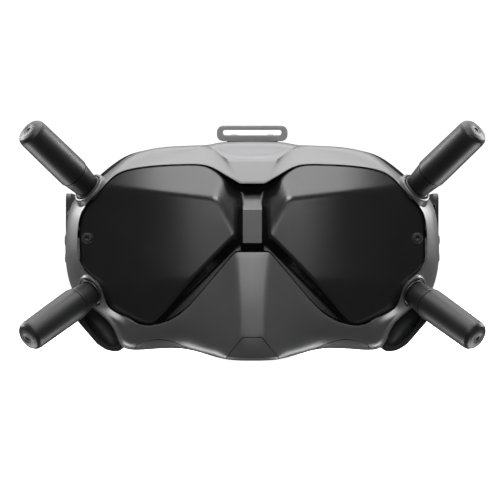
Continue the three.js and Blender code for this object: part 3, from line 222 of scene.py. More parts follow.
def applied(obj):
    """Puts an object's modifiers into its mesh."""
    bpy.context.view_layer.update()
    graph = bpy.context.evaluated_depsgraph_get()
    data = bpy.data.meshes.new_from_object(obj.evaluated_get(graph))
    obj.modifiers.clear()
    obj.data = data
    return obj


def bevelled(obj, width, segments=3, angle=32.0):
    mod = obj.modifiers.new("bevel", "BEVEL")
    mod.width = width * MM
    mod.segments = segments
    mod.limit_method = "ANGLE"
    mod.angle_limit = math.radians(angle)
    return applied(obj)


def combined(obj, tool, operation, keep_tool=False):
    mod = obj.modifiers.new("boolean", "BOOLEAN")
    mod.object = tool
    mod.operation = operation
    mod.solver = "MANIFOLD"
    applied(obj)
    if not keep_tool:
        bpy.data.objects.remove(tool)
    return obj


def cut(obj, tool):
    return combined(obj, tool, "DIFFERENCE")


def joined(obj, tool):
    return combined(obj, tool, "UNION")


def kept(obj, tool):
    return combined(obj, tool, "INTERSECT")


def copied(obj, name):
    made = obj.copy()
    made.data = obj.data.copy()
    made.name = name
    SCENE.collection.objects.link(made)
    return made


def mirrored_copy(obj, name):
    made = copied(obj, name)

    def change(bm):
        bmesh.ops.scale(bm, vec=(-1, 1, 1), verts=bm.verts)
        bmesh.ops.reverse_faces(bm, faces=bm.faces)
    return edited(made, change)


def above_ground(obj):
    """Cuts away whatever would stand below the surface that the object rests on."""
    return cut(obj, solid_box("tool", (-150, -150, -20), (150, 150, 0)))


def largest_part(obj):
    """Drops the slivers that a cut leaves, keeping the biggest connected part."""
    def change(bm):
        left = set(bm.verts)
        best = set()
        while left:
            seed = left.pop()
            group = {seed}
            stack = [seed]
            while stack:
                for edge in stack.pop().link_edges:
                    for vert in edge.verts:
                        if vert not in group:
                            group.add(vert)
                            stack.append(vert)
            left -= group
            if len(group) > len(best):
                best = group
        bmesh.ops.delete(bm, geom=[v for v in bm.verts if v not in best], context="VERTS")
    return edited(obj, change)


def placed(obj, slot, body="housing", nodes=(), angle=34.0, look=None):
    """Gives a piece its material, soft shading and place in the frame."""
    obj.data.materials.clear()
    obj.data.materials.append(look or LOOKS[slot])
    obj.data.polygons.foreach_set("use_smooth", [True] * len(obj.data.polygons))
    obj.data.set_sharp_from_angle(angle=math.radians(angle))
    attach(obj, body)
    if nodes:
        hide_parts(*nodes)
    return obj


# ---------------------------------------------------------------- nets

def weave(even, odd, axis):
    shape = list(even.shape)
    shape[axis] *= 2
    out = np.empty(shape)
    pick = [slice(None)] * even.ndim
    pick[axis] = slice(0, None, 2)
    out[tuple(pick)] = even
    pick[axis] = slice(1, None, 2)
    out[tuple(pick)] = odd
    return out


def halved(points, sharp, other, axis):
    """Halves a closed net along one axis as a cubic B-spline does, leaving sharp points in place."""
    before = np.roll(points, 1, axis)
    after = np.roll(points, -1, axis)
    even = np.where(sharp[..., None] > 0, points, (before + 6 * points + after) / 8)
    return (
        weave(even, (points + after) / 2, axis),
        weave(np.maximum(sharp - 1, 0), np.zeros_like(sharp), axis),
        weave(other, np.minimum(other, np.roll(other, -1, axis)), axis),
    )


def refined(points, along, across, times):
    for _ in range(times):
        points, along, across = halved(points, along, across, 1)
        points, across, along = halved(points, across, along, 0)
    return points


def whole(half, mirror=(-1, 1, 1)):
    """A right half, top to bottom, made whole by its mirror image."""
    half = np.asarray(half, float)
    return np.concatenate([half, (half[1:-1] * np.asarray(mirror, float))[::-1]])


def ring_faces(columns, rows):
    i, j = np.meshgrid(np.arange(columns), np.arange(rows), indexing="ij")
    i2, j2 = (i + 1) % columns, (j + 1) % rows
    quads = np.stack([i * rows + j, i2 * rows + j, i2 * rows + j2, i * rows + j2], -1)
    return quads.reshape(-1, 4).tolist()


def open_ring_faces(rings, around):
    faces = []
    for i in range(rings - 1):
        for j in range(around):
            k = (j + 1) % around
            faces.append((i * around + j, i * around + k, (i + 1) * around + k, (i + 1) * around + j))
    return faces


def ring_object(name, points):
    return mesh_object(name, points, ring_faces(*points.shape[:2]))


def outward(net):
    around = np.roll(net, -1, 0) - np.roll(net, 1, 0)
    down = np.concatenate([net[:, 1:], net[:, -1:]], 1) - np.concatenate([net[:, :1], net[:, :-1]], 1)
    normal = np.cross(around, down)
    return normal / np.linalg.norm(normal, axis=2, keepdims=True)


# ---------------------------------------------------------------- front cover

WALL = 2.0
LIP_DEPTH = 1.6
GAP = 0.3

# [opening edge, crease, shoulder, side, rear edge] of the right half, from the top centre
# round to the bottom centre.
COVER_SPOKES = [
    [[0, -47, 86.5], [0, -36, 98.6], [0, -29, 101], [0, -19, 109.4], [0, 10, 109.6]],
    [[6, -47, 86.5], [12, -36, 98.6], [13, -29, 101.2], [15, -19, 109.4], [15, 10, 109.6]],
    [[14.3, -42, 91.6], [17.6, -29.5, 102.6], [18.8, -24, 104.4], [21, -16, 107.6], [21, 10, 108]],
    [[22.1, -35, 96.7], [23.4, -23, 106], [24.2, -18, 106.8], [26, -11, 107.1], [26, 10, 107.3]],
    [[34, -33, 96.5], [34, -22, 104.6], [34, -16, 106.3], [34, -9, 106.9], [34, 10, 106.9]],
    [[45.5, -31, 96.3], [45.7, -20.5, 103.5], [46.1, -14.5, 105.8], [46.4, -8, 106.6], [47, 10, 107.1]],
    [[58.8, -28.5, 94.9], [59.2, -19.5, 100.4], [60.1, -13.5, 102.6], [61, -7, 103.4], [61.8, 10, 104.2]],
    [[65.8, -27.2, 92.8], [66.8, -19.5, 96], [67.4, -13.5, 96.9], [68, -7, 97.4], [69, 10, 98]],
    [[71.5, -27.6, 88], [73.3, -21, 90.4], [73.8, -14.5, 91.5], [74.3, -7.5, 92.2], [75.3, 10, 92.9]],
    [[75.6, -27, 82], [79.2, -20.5, 84.2], [81, -14, 85.1], [81.9, -7.5, 85.9], [83.4, 12, 86.6]],
    [[82.4, -25.5, 76.6], [86, -19, 78.4], [88.6, -13, 79.3], [90.5, -6, 80], [92.3, 14, 80.7]],
    [[85.8, -24, 70], [89, -17.5, 70.6], [91.7, -12, 71], [93.5, -5, 71.4], [95, 14, 71.8]],
    [[86.2, -24, 57], [90.2, -17.5, 57], [92.9, -11.5, 57], [94.6, -5, 57.1], [96, 14, 57.1]],
    [[85.6, -24, 47], [89.6, -17.8, 45.5], [92.3, -12, 44.7], [94, -5, 44.2], [95.5, 14, 44]],
    [[80, -26.5, 42.6], [85.5, -19, 38], [88.6, -14, 35.8], [90.6, -7, 34.6], [92.6, 10, 33.2]],
    [[74.8, -28.5, 38], [79.5, -21.8, 32], [82.3, -16.5, 29.4], [83.7, -12, 28.3], [83.9, -9, 27.7]],
    [[72, -30, 30], [75.4, -25.2, 26.5], [77.2, -20.5, 25], [78, -16.5, 24.3], [78, -12.5, 24]],
    [[70.4, -30.6, 25.5], [70.2, -27.4, 23.2], [72, -25, 21.6], [72.6, -18.5, 20.6], [72.6, -14.5, 20.6]],
    [[60.2, -32.8, 21], [62.9, -29.6, 17.8], [66.4, -28.4, 16.2], [67.6, -20.5, 14.9], [67.6, -15.5, 14.6]],
    [[53.3, -35, 17], [58.6, -31.8, 10], [63.4, -30, 5.6], [65.2, -21.5, 4], [65.6, -14.5, 3.8]],
    [[45, -37.3, 18.3], [46, -36, 11.5], [48.5, -31, 7], [50, -23.5, 5.6], [51, -12, 5.4]],
    [[34.2, -40.2, 22.5], [32.8, -39.5, 13.5], [32.5, -34, 7.6], [32.5, -26, 6.6], [33, -12, 6.4]],
    [[21.2, -42.8, 38.2], [20.5, -45, 21], [20.5, -46, 3.6], [21.5, -38, 3.2], [21, -13, 3]],
    [[8.2, -45.5, 53.5], [6.4, -51.5, 31], [5, -54.5, 12.5], [11.5, -52.3, 1.9], [11, -14, -0.6]],
    [[0, -46, 53.5], [0, -51.8, 31], [0, -54.8, 12.5], [0, -52.8, 1.9], [0, -14, -0.6]],
]
COVER = whole(COVER_SPOKES)


def cover_sharpness():
    along = np.zeros((25, 5))
    across = np.zeros((25, 5))
    along[:, 0] = 2
    along[:, 4] = 3
    along[:4, 1] = 3
    along[:2, 2] = 1
    along[17:20, 1] = 1
    along[23:, 3] = 2
    across[1, :2] = 2
    across[23, :3] = 2
    return whole(along, 1), whole(across, 1)


def walled(net, along, across, lip):
    """Outer levels, then the inner skin back from the rear edge, then the turned-in lip."""
    inner = net - WALL * outward(net)
    inner[:, -1, 1] = net[:, -1, 1]
    turned_in = net[:, :1] + [0, lip, 0]
    order = [inner[:, :0:-1], turned_in]
    levels = [along, along[:, :0:-1], along[:, :1]]
    crossings = [across, across[:, :0:-1], across[:, :1]]
    return np.concatenate([net, *order], 1), np.concatenate(levels, 1), np.concatenate(crossings, 1)


def solid_box(name, low, high):
    low, high = np.array(low, float), np.array(high, float)
    corners = [[(low, high)[a][0], (low, high)[b][1], (low, high)[c][2]]
               for a in (0, 1) for b in (0, 1) for c in (0, 1)]
    faces = [(0, 1, 3, 2), (4, 6, 7, 5), (0, 4, 5, 1), (2, 3, 7, 6), (0, 2, 6, 4), (1, 5, 7, 3)]
    return welded(mesh_object(name, corners, faces))


def prism(name, outline, low, high, axes):
    """An outline in two axes, run along the third from low to high."""
    outline = np.asarray(outline, float)
    count = len(outline)
    third = 3 - sum(axes)
    points = np.zeros((2, count, 3))
    points[:, :, axes[0]] = outline[:, 0]
    points[:, :, axes[1]] = outline[:, 1]
    points[0, :, third] = low
    points[1, :, third] = high
    sides = [(i, (i + 1) % count, count + (i + 1) % count, count + i) for i in range(count)]
    caps = [tuple(range(count))[::-1], tuple(range(count, 2 * count))]
    return welded(mesh_object(name, points, sides + caps), 1e-7)


def grown(outline, distance):
    outline = np.asarray(outline, float)
    middle = outline.mean(0)
    arms = outline - middle
    length = np.linalg.norm(arms, axis=1, keepdims=True)
    return middle + arms * (length + distance) / length


def smooth_outline(outline, sharp=(), times=3):
    """A closed outline rounded as a B-spline, sharp at the given corners."""
    points = np.asarray(outline, float)[None]
    keep = np.zeros((1, len(outline)))
    keep[0, list(sharp)] = 9
    for _ in range(times):
        points, keep, _ = halved(points, keep, keep, 1)
    return points[0]


def stadium(x, z, half_straight, radius, steps=24):
    """A slot outline with round ends, its long way along the first axis."""
    angles = np.linspace(-math.pi / 2, math.pi / 2, steps)
    right = np.stack([x + half_straight + radius * np.cos(angles), z + radius * np.sin(angles)], 1)
    left = np.stack([x - half_straight - radius * np.cos(angles), z - radius * np.sin(angles)], 1)
    return np.concatenate([right, left])


def lathe(name, profile, segments=72):
    """A turned piece about +Z. The profile is [radius, height] from the bottom up."""
    profile = np.asarray(profile, float)
    angles = np.linspace(0, 2 * math.pi, segments, endpoint=False)
    points = np.stack([
        np.outer(np.cos(angles), profile[:, 0]),
        np.outer(np.sin(angles), profile[:, 0]),
        np.tile(profile[:, 1], (segments, 1)),
    ], -1)
    rows = len(profile)
    faces = []
    for i in range(segments):
        for j in range(rows - 1):
            k = (i + 1) % segments
            faces.append((i * rows + j, k * rows + j, k * rows + j + 1, i * rows + j + 1))
    return welded(mesh_object(name, points, faces))


def rod(radius, low, high, segments=48):
    """A plain bar along Z, to cut a hole or to join as a pin."""
    return lathe("tool", [[0, low], [radius, low], [radius, high], [0, high]], segments)


def filleted(profile, radius, steps=4):
    """Rounds a profile's corners, leaving its ends."""
    profile = [np.array(p, float) for p in profile]
    out = [profile[0]]
    for before, at, after in zip(profile, profile[1:], profile[2:]):
        a = before - at
        b = after - at
        start = at + a * min(radius / max(np.linalg.norm(a), 1e-9), 0.45)
        end = at + b * min(radius / max(np.linalg.norm(b), 1e-9), 0.45)
        for t in np.linspace(0, 1, steps + 1):
            out.append((1 - t) ** 2 * start + 2 * t * (1 - t) * at + t ** 2 * end)
    out.append(profile[-1])
    return out


def aim(obj, direction, point):
    """Turns a piece made about +Z to stand along a direction at a point."""
    turn = Vector((0, 0, 1)).rotation_difference(Vector(direction).normalized()).to_matrix().to_4x4()
    obj.data.transform(Matrix.Translation(Vector(point) * MM) @ turn)
    return obj


ANTENNAS = {
    "upper": {"seat": (81.2, -21.2, 85.6), "rise": 45.4, "forward": 32.0},
    "lower": {"seat": (79.6, -23.0, 33.7), "rise": -37.3, "forward": 38.0},
}


def antenna_axis(corner, side):
    rise, forward = math.radians(corner["rise"]), math.radians(corner["forward"])
    level = math.cos(forward)
    return (side * level * math.cos(rise), -math.sin(forward), level * math.sin(rise))


def antenna_seat(corner, side):
    x, y, z = corner["seat"]
    return (side * x, y, z)


INSERT_OUTLINE = [[4.6, 13], [14.4, 0.6], [14.4, -5], [-14.4, -5], [-14.4, 0.6], [-4.6, 13]]
TRIM_ARCH = [
    [57.9, 3], [57.3, 7.1], [55.7, 8.9], [51.7, 10.1], [46.8, 11.2], [41.9, 10.9],
    [37.7, 9.6], [33, 7.5], [28, 5.6], [28, -2], [57.9, -2],
]
SIDE_PANEL = {"half": 13.0, "radius": 6.0, "depth": -1.0, "height": 62.0}
INTAKE = {"half": 13.0, "front": -13.0, "back": 5.0}
DETAIL = 3


def insert_tool(distance):
    return prism("tool", grown(INSERT_OUTLINE, distance), -60, -30 + distance, (0, 2))


def trim_tool(side, distance):
    outline = smooth_outline(grown(TRIM_ARCH, distance), sharp=(0, 9, 10), times=3) * [side, 1]
    return prism("tool", outline, -50, -18 + distance, (0, 2))


def side_tool(side, distance):
    radius = SIDE_PANEL["radius"] + distance
    outline = stadium(SIDE_PANEL["height"], SIDE_PANEL["depth"], SIDE_PANEL["half"], radius)
    return prism("tool", outline, side * 82, side * 98, (2, 1))


def opening_outline(net, distance, times=4):
    edge = net[:, 0][:, [0, 2]]
    keep = cover_sharpness()[1][:, 0]
    points, keep = edge[None], keep[None]
    for _ in range(times):
        points, keep, _ = halved(points, keep, keep, 1)
    return grown(points[0], distance)


BOSS_PROFILE = [
    [0, -8], [12.0, -8], [12.0, -5.6], [10.4, -4.4], [9.5, -3.0], [8.9, -1.4], [8.5, -0.3], [8.1, 0], [0, 0],
]
SEAT_BORE = [[0, -20], [4.2, -20], [4.2, -1.5], [7.4, -1.5], [7.4, -0.3], [7.7, 0.02], [7.7, 5], [0, 5]]
BOSS_TO_VISOR = 0.35


def seated(obj, corner, side):
    """Stands a turned piece on an antenna's seat, along the antenna."""
    return aim(obj, antenna_axis(corner, side), antenna_seat(corner, side))


def cover_shell():
    net, along, across = walled(COVER, *cover_sharpness(), LIP_DEPTH)
    shell = ring_object("cover_shell", refined(net, along, across, DETAIL))
    seats = [(corner, side) for corner in ANTENNAS.values() for _, side in SIDES]
    for corner, side in seats:
        boss = seated(lathe("tool", filleted(BOSS_PROFILE, 0.5), 96), corner, side)
        cut(boss, prism("tool2", opening_outline(COVER, BOSS_TO_VISOR), -60, 0, (0, 2)))
        joined(shell, boss)
    for corner, side in seats:
        cut(shell, seated(lathe("tool", SEAT_BORE, 96), corner, side))
    return above_ground(shell)


shell = cover_shell()

# How far an inlaid piece stands back from its seam, and the cover on the seam's other side.
INLAY_BACK = 0.16
COVER_BACK = 0.24
PANEL_GAP = 0.15

cover = copied(shell, "cover")
cut(cover, insert_tool(COVER_BACK))
cut(cover, solid_box("tool", (-INTAKE["half"], INTAKE["front"], 100), (INTAKE["half"], INTAKE["back"], 120)))
for _, side in SIDES:
    cut(cover, trim_tool(side, COVER_BACK))
    cut(cover, side_tool(side, PANEL_GAP))
largest_part(cover)
placed(cover, "grey_paint", nodes=("front_cover",))

insert = largest_part(kept(copied(shell, "nose_bridge_insert"), insert_tool(-INLAY_BACK)))
placed(insert, "grey_paint", nodes=("nose_insert",))
for name, side in SIDES:
    trim = largest_part(kept(copied(shell, f"arched_trim_{name}"), trim_tool(side, -INLAY_BACK)))
    placed(trim, "grey_paint", nodes=(f"lower_trim_{name}",))


# ---------------------------------------------------------------- side panels and controls

# [radius, height] of the round holes on each side, and the display's window on the left.
CONTROL_HOLES = {
    1: ((2.9, 59.5), (2.9, 51.0)),
    -1: ((4.6, 71.0), (3.3, 59.5), (2.9, 50.5)),
}
DISPLAY_WINDOW = {"half": 4.3, "bottom": 66.1, "top": 77.9}


def display_tool():
    depth, half = SIDE_PANEL["depth"], DISPLAY_WINDOW["half"]
    low = (75, depth - half, DISPLAY_WINDOW["bottom"])
    return solid_box("tool", low, (105, depth + half, DISPLAY_WINDOW["top"]))


for name, side in SIDES:
    panel = kept(copied(shell, f"control_panel_{name}"), side_tool(side, -PANEL_GAP))
    for radius, height in CONTROL_HOLES[side]:
        cut(panel, aim(rod(radius, -10, 10), (side, 0, 0), (side * 90, SIDE_PANEL["depth"], height)))
    if side > 0:
        cut(panel, display_tool())
    placed(largest_part(panel), "black_plastic", nodes=(f"side_panel_{name}",))


# ---------------------------------------------------------------- visor

EYE_NOSE = 42.5
VISOR_THICKNESS = 2.2
VISOR_HALF_WIDTH = 85.3
VISOR_TO_COVER = 0.22
EDGE_ROUNDING = 0.3
ROUNDED_WIDTH = 0.5
CROWDING = 0.35  # how much the sheet's lines gather towards its rim


def soft_min(a, b, radius):
    h = np.clip(0.5 + 0.5 * (b - a) / radius, 0, 1)
    return b * (1 - h) + a * h - radius * h * (1 - h)


def soft_max(a, b, radius):
    return -soft_min(-a, -b, radius)


def visor_forward(x, z):
    """How far forward the visor stands at (x, z)."""
    out = np.abs(x)
    beyond = np.maximum(out - 8, 0)
    eye = EYE_NOSE - 0.12 * beyond - 0.0019 * beyond ** 2
    brow = eye - 0.38 * (z - (77.1 + 0.121 * out))
    cheek = eye - 0.15 * (39 - z)
    diagonal = (8.1 - out) * 0.71 + (62 - z) * 0.7
    nose_wall = soft_max(eye - 1.3 * diagonal, eye - 5.5, 1.0)
    inner_wall = np.where(z < 75, eye - 2 * (8.3 - out), eye + 3)
    inner_brow = eye - 0.5 * ((8.1 - out) * 0.863 + (z - 63.3) * 0.505)
    facets = soft_min(eye, brow, 0.7)
    facets = soft_min(facets, cheek, 0.5)
    facets = soft_min(facets, nose_wall, 1.4)
    facets = soft_min(facets, inner_wall, 0.9)
    facets = soft_min(facets, inner_brow, 1.2)
    bridge = 40 - 2 * np.maximum(out - 4.6, 0) - 2 * np.maximum(58 - z, 0) - 0.35 * np.maximum(z - 74, 0)
    return soft_max(facets, bridge, 0.8)


def opening_edges():
    outline = opening_outline(COVER, 0.0)
    right = outline[: len(outline) // 2 + 1]
    widest = int(np.argmax(right[:, 0]))
    upper, lower = right[: widest + 1], right[widest:][::-1]
    return upper, lower


def visor_sheet(columns=181, rows=97):
    upper, lower = opening_edges()
    t = np.linspace(-1, 1, columns)
    x = VISOR_HALF_WIDTH * (CROWDING * np.sin(t * math.pi / 2) + (1 - CROWDING) * t)
    top = np.interp(np.abs(x), upper[:, 0], upper[:, 1]) - VISOR_TO_COVER
    bottom = np.interp(np.abs(x), lower[:, 0], lower[:, 1]) + VISOR_TO_COVER
    gathered = np.cos(np.linspace(0, math.pi, rows))
    share = 0.5 - 0.5 * (CROWDING * gathered + (1 - CROWDING) * np.linspace(1, -1, rows))
    z = top[:, None] + (bottom - top)[:, None] * share[None]
    xx = np.repeat(x[:, None], rows, 1)
    inside = np.minimum(top[:, None] - z, z - bottom[:, None])
    edge = np.minimum(inside, VISOR_HALF_WIDTH - np.abs(xx))
    rounding = EDGE_ROUNDING * np.clip(1 - edge / ROUNDED_WIDTH, 0, 1) ** 2
    return np.stack([xx, -visor_forward(xx, z) + rounding, z], -1)


def slab_object(name, sheet, thickness):
    """A sheet of points, open at its rim, thickened backward."""
    columns, rows = sheet.shape[:2]
    back = sheet + [0, thickness, 0]
    count = columns * rows
    index = np.arange(count).reshape(columns, rows)
    a, b, c, d = index[:-1, :-1], index[1:, :-1], index[1:, 1:], index[:-1, 1:]
    front = np.stack([a, d, c, b], -1).reshape(-1, 4)
    rear = np.stack([a, b, c, d], -1).reshape(-1, 4) + count
    rim = np.concatenate([index[:-1, 0], index[-1, :-1], index[:0:-1, -1], index[0, :0:-1]])
    after = np.roll(rim, -1)
    sides = np.stack([rim, after, after + count, rim + count], -1)
    faces = np.concatenate([front, rear, sides]).tolist()
    return welded(mesh_object(name, np.concatenate([sheet.reshape(-1, 3), back.reshape(-1, 3)]), faces), 1e-7)


SCREW = (81.4, 60.5)
SCREW_HOLE = [[0, -10], [1.6, -10], [1.6, -1.2], [2.75, -1.2], [2.75, -0.3], [3.0, 0.1], [3.0, 6], [0, 6]]
SCREW_PROFILE = [[0, -8], [1.2, -8], [1.2, -0.9], [2.4, -0.9], [2.4, 0.7], [0, 0.7]]
DRIVE_CONE = [[0, -0.8], [1.05, -0.3], [1.05, 5], [0, 5]]
HEXAGON = [[1.25 * math.cos(k * math.pi / 3), 1.25 * math.sin(k * math.pi / 3)] for k in range(6)]
screw_front = -float(visor_forward(np.array(SCREW[0]), np.array(SCREW[1])))
visor = slab_object("visor", visor_sheet(), VISOR_THICKNESS)
for _, side in SIDES:
    cut(visor, aim(lathe("tool", SCREW_HOLE, 48), (0, -1, 0), (side * SCREW[0], screw_front, SCREW[1])))
placed(visor, "visor_plastic", nodes=("visor_panel",), angle=40)

for name, side in SIDES:
    screw = lathe(f"cover_screw_{name}", filleted(SCREW_PROFILE, 0.35), 48)
    cut(screw, prism("tool", HEXAGON, -0.2, 5, (0, 1)))
    cut(screw, lathe("tool", DRIVE_CONE, 48))
    aim(screw, (0, -1, 0), (side * SCREW[0], screw_front, SCREW[1]))
    placed(screw, "steel", nodes=(f"visor_screw_{name}",), look=LOOKS["screw_metal"])


# ---------------------------------------------------------------- rear housing and bays

# Spoke: where the housing's rear edge stands at the nose, and how far it is proud of the cover.
REAR_POINTS = {20: (47, 4), 21: (33, 5.4), 22: (22, 14), 23: (12.5, 31), 24: (0, 38)}
PROUD = {6: (0.1, 0.4), 7: (0.6, 1.9), 8: (1.4, 1.4), 9: (0.9, 0.6)}
TAPER = 0.93
MID_HEIGHT = 55
REAR_TOP = 103.5
SIDE_BULGE = 0.8
NOSE_SPOKE = 22
PEG_HEIGHTS = (63, 73)
PEG_DEPTH = 23.5
LINK_HOLE = (70.5, 2, 0)


def housing_spokes():
    spokes = []
    for i, levels in enumerate(COVER_SPOKES):
        x, y, z = levels[4]
        px, pz = PROUD.get(i, (0, 0))
        x, z = x + px, z + pz
        tapered = (x * TAPER, min(MID_HEIGHT + (z - MID_HEIGHT) * TAPER, REAR_TOP))
        rx, rz = REAR_POINTS.get(i, tapered)
        front = np.array([x, y + 0.4, z])
        rear = np.array([rx, 20 + 8 * (rx / 85) ** 2, rz])
        middle = (front + rear) / 2
        bulge = 0 if i >= NOSE_SPOKE else SIDE_BULGE
        middle[0] *= 1 + bulge / 90
        middle[2] += bulge if middle[2] > MID_HEIGHT else -bulge * 0.5
        spokes.append([front, middle, rear])
    return np.array(spokes)


HOUSING = housing_spokes()
BAY_OUTLINE = [
    [63.4, 7], [65.8, 15], [71.4, 21.4], [77.4, 25.4], [81.8, 29.4], [88.4, 33.6], [90, 32],
    [89.2, 24], [87.2, 19.4], [77.2, 7.8], [73.2, 5], [69.9, 4.1], [65.4, 4],
]
BAY_DEPTHS = (-16.5, 12)
BAY_CORNERS = (8, 9)
BAY_DISH = {"half": (12.0, 5.5, 6.1), "middle": (74, -17.5, 16.8), "turn": -48, "bluntness": 2.6}
# The flat slanted face of a bay, where the sockets are.
BAY_MIDDLE = (82.2, 13.6)
BAY_NORMAL = (0.757, -0.653)
SOCKET_BOTTOM = -9.3
# [depth, radius] of the round sockets, and [depth, width, height, bottom] of the square holes
# on the other side: the data socket, the card slot and the flap's pocket.
ROUND_SOCKETS = ((-6.0, 4.3), (5.0, 3.5))
SQUARE_HOLES = (
    (-6, 5.0, 10.6, SOCKET_BOTTOM),
    (4.5, 7.6, 13.0, SOCKET_BOTTOM),
    (0.1, 22.4, 13.6, -1.95),
)
LOOP_PIN = (0, 13.6, 111.9)
EAR = {"place": 9.3, "half": 1.7}


def bay_point(side, depth):
    return (side * BAY_MIDDLE[0], depth, BAY_MIDDLE[1])


def bay_block(side, depth, width, height, inner, outer):
    """A square hole's tool, standing on a bay's slanted face."""
    block = solid_box("tool", (-height / 2, -width / 2, inner), (height / 2, width / 2, outer))
    angle = math.atan2(BAY_NORMAL[0], BAY_NORMAL[1])
    block.data.transform(Matrix.Translation(Vector((BAY_MIDDLE[0], depth, BAY_MIDDLE[1])) * MM)
                         @ Matrix.Rotation(angle, 4, "Y"))
    if side < 0:
        flipped = mirrored_copy(block, "tool")
        bpy.data.objects.remove(block)
        return flipped
    return block


def bay_dish(side):
    """A long hollow with blunt ends, pressed into a bay's front."""
    x, y, z = BAY_DISH["middle"]
    power = BAY_DISH["bluntness"]
    levels = np.linspace(-math.pi / 2, math.pi / 2, 33)
    turns = np.linspace(0, 2 * math.pi, 64, endpoint=False)
    blunt = (np.abs(np.cos(turns)) ** power + np.abs(np.sin(turns)) ** power) ** (-1 / power)
    rings = np.stack([
        np.outer(np.cos(levels), blunt * np.cos(turns)),
        np.outer(np.sin(levels), np.ones(64)),
        np.outer(np.cos(levels), blunt * np.sin(turns)),
    ], -1) * BAY_DISH["half"]
    tool = welded(mesh_object("tool", rings, open_ring_faces(33, 64)), 1e-7)
    turn = Matrix.Rotation(math.radians(BAY_DISH["turn"] * side), 4, "Y")
    tool.data.transform(Matrix.Translation(Vector((side * x, y, z)) * MM) @ turn)
    return tool


def socket_tool(radius):
    """A round socket's hole, wider at its mouth."""
    mouth = radius + 0.4
    profile = [[0, SOCKET_BOTTOM], [radius, SOCKET_BOTTOM], [radius, -0.4], [mouth, 0], [mouth, 5], [0, 5]]
    return lathe("tool", profile, 48)


def on_pin(obj, x=0.0):
    """Turns a piece made about +Z to lie on the loop's pin, x from its middle."""
    return aim(obj, (1, 0, 0), (x, LOOP_PIN[1], LOOP_PIN[2]))


def with_ears(body):
    """Adds the two ears that hold the loop's pin, and their foot."""
    joined(body, solid_box("tool", (-13, 11.2, 107.4), (13, 16.4, 109.0)))
    for _, side in SIDES:
        x, half = side * EAR["place"], EAR["half"]
        joined(body, solid_box("tool", (x - half, 11.5, 107.5), (x + half, 15.7, LOOP_PIN[2])))
        joined(body, on_pin(rod(2.1, -half, half), x))
    return cut(body, on_pin(rod(1.1, -20, 20, 32)))


def rear_housing():
    net = whole(HOUSING)
    normal = outward(net)
    inner = net - WALL * normal * [1, 0, 1]
    points = np.concatenate([net, inner[:, ::-1]], 1)
    along = np.zeros(points.shape[:2])
    along[:, [0, 2, 3, 5]] = 3
    body = ring_object("rear_shell", refined(points, along, np.zeros_like(along), DETAIL))
    for _, side in SIDES:
        outline = smooth_outline(BAY_OUTLINE, BAY_CORNERS, 2) * [side, 1]
        bay = prism("tool", outline, *BAY_DEPTHS, (0, 2))
        bevelled(bay, 1.1, 3, 40)
        joined(body, cut(bay, bay_dish(side)))
    for depth, radius in ROUND_SOCKETS:
        cut(body, aim(socket_tool(radius), (BAY_NORMAL[0], 0, BAY_NORMAL[1]), bay_point(1, depth)))
    for depth, width, height, bottom in SQUARE_HOLES:
        cut(body, bay_block(-1, depth, width, height, bottom, 5))
    cut(body, aim(rod(1.9, -5, 8, 32), (0, 0, 1), LINK_HOLE))
    for _, side in SIDES:
        cut(body, prism("tool", stadium(side * 32, 4, 6, 2.6), -6, 18, (0, 1)))
        for height in PEG_HEIGHTS:
            cut(body, aim(rod(2.1, -8, 8, 32), (1, 0, 0), (side * 90, PEG_DEPTH, height)))
    for shift in ((0, GAP, 0), (0, 0, -GAP)):
        tool = copied(shell, "tool")
        tool.data.transform(Matrix.Translation(Vector(shift) * MM))
        cut(body, tool)
    with_ears(body)
    return largest_part(above_ground(body))


housing = rear_housing()
housing.name = "rear_body"
placed(housing, "black_plastic", nodes=("rear_housing",))


# ---------------------------------------------------------------- face frame and padding

FACE_LINE = [
    [0, 97], [10, 97.3], [17, 97.4], [24, 97.2], [33, 96.3], [43, 94.3], [53, 91], [60, 87.5],
    [66, 83], [71, 77], [74.5, 71], [76.5, 64], [77.2, 55], [76.3, 46], [74, 38], [71, 31.5],
    [67, 25.5], [62.5, 20], [57.5, 16.6], [51.5, 12.8], [44, 10.6], [34.5, 12.4], [25, 21],
    [14.5, 34], [0, 40],
]


def face_line():
    line = np.array(FACE_LINE, float)
    along = np.concatenate([line[1:], line[-1:]]) - np.concatenate([line[:1], line[:-1]])
    normal = np.stack([-along[:, 1], along[:, 0]], 1)
    normal /= np.linalg.norm(normal, axis=1, keepdims=True)
    normal[0] = (0, 1)
    normal[-1] = (0, -1)
    return line, normal


def face_depth(x):
    """Where the face frame's rear rim stands: it curves back at the sides, as a face does."""
    return 26.4 + 16 * (x / 78) ** 2


def face_ring(outward_by, depth):
    line, normal = face_line()
    p = line + normal * outward_by
    return np.stack([p[:, 0], face_depth(line[:, 0]) + depth, p[:, 1]], 1)


def face_frame():
    start = HOUSING[:, 2] + [0, 0.4, 0]
    outer = face_ring(7, 0)
    inward = face_ring(5, -2)
    shift = (inward - outer) * [1, 0, 1]
    rings = [start, outer, face_ring(-6, 0), face_ring(-6, -2), inward, start + shift]
    net = np.stack([whole(r) for r in rings], 1)
    along = np.full(net.shape[:2], 2.0)
    frame_ring = ring_object("face_rim", refined(net, along, np.zeros_like(along), DETAIL))
    return above_ground(frame_ring)


placed(face_frame(), "black_plastic", nodes=("face_frame",))


# [outward, backward] round the foam's section, and how much narrower it is before it swells.
FOAM_SECTION = [(5.6, 0.5), (6.2, 6), (5.2, 11), (2, 14), (-2, 14), (-5.2, 11), (-6.2, 6), (-5.4, 0.5)]
FOAM_START = 0.90
FOAM_VOXEL = 2.8
FOAM_HELD = 3.4
FOAM_PRESSURE = 4.0
FOAM_LAST_FRAME = 15
FOAM_LARGEST_MOVE = 1.6


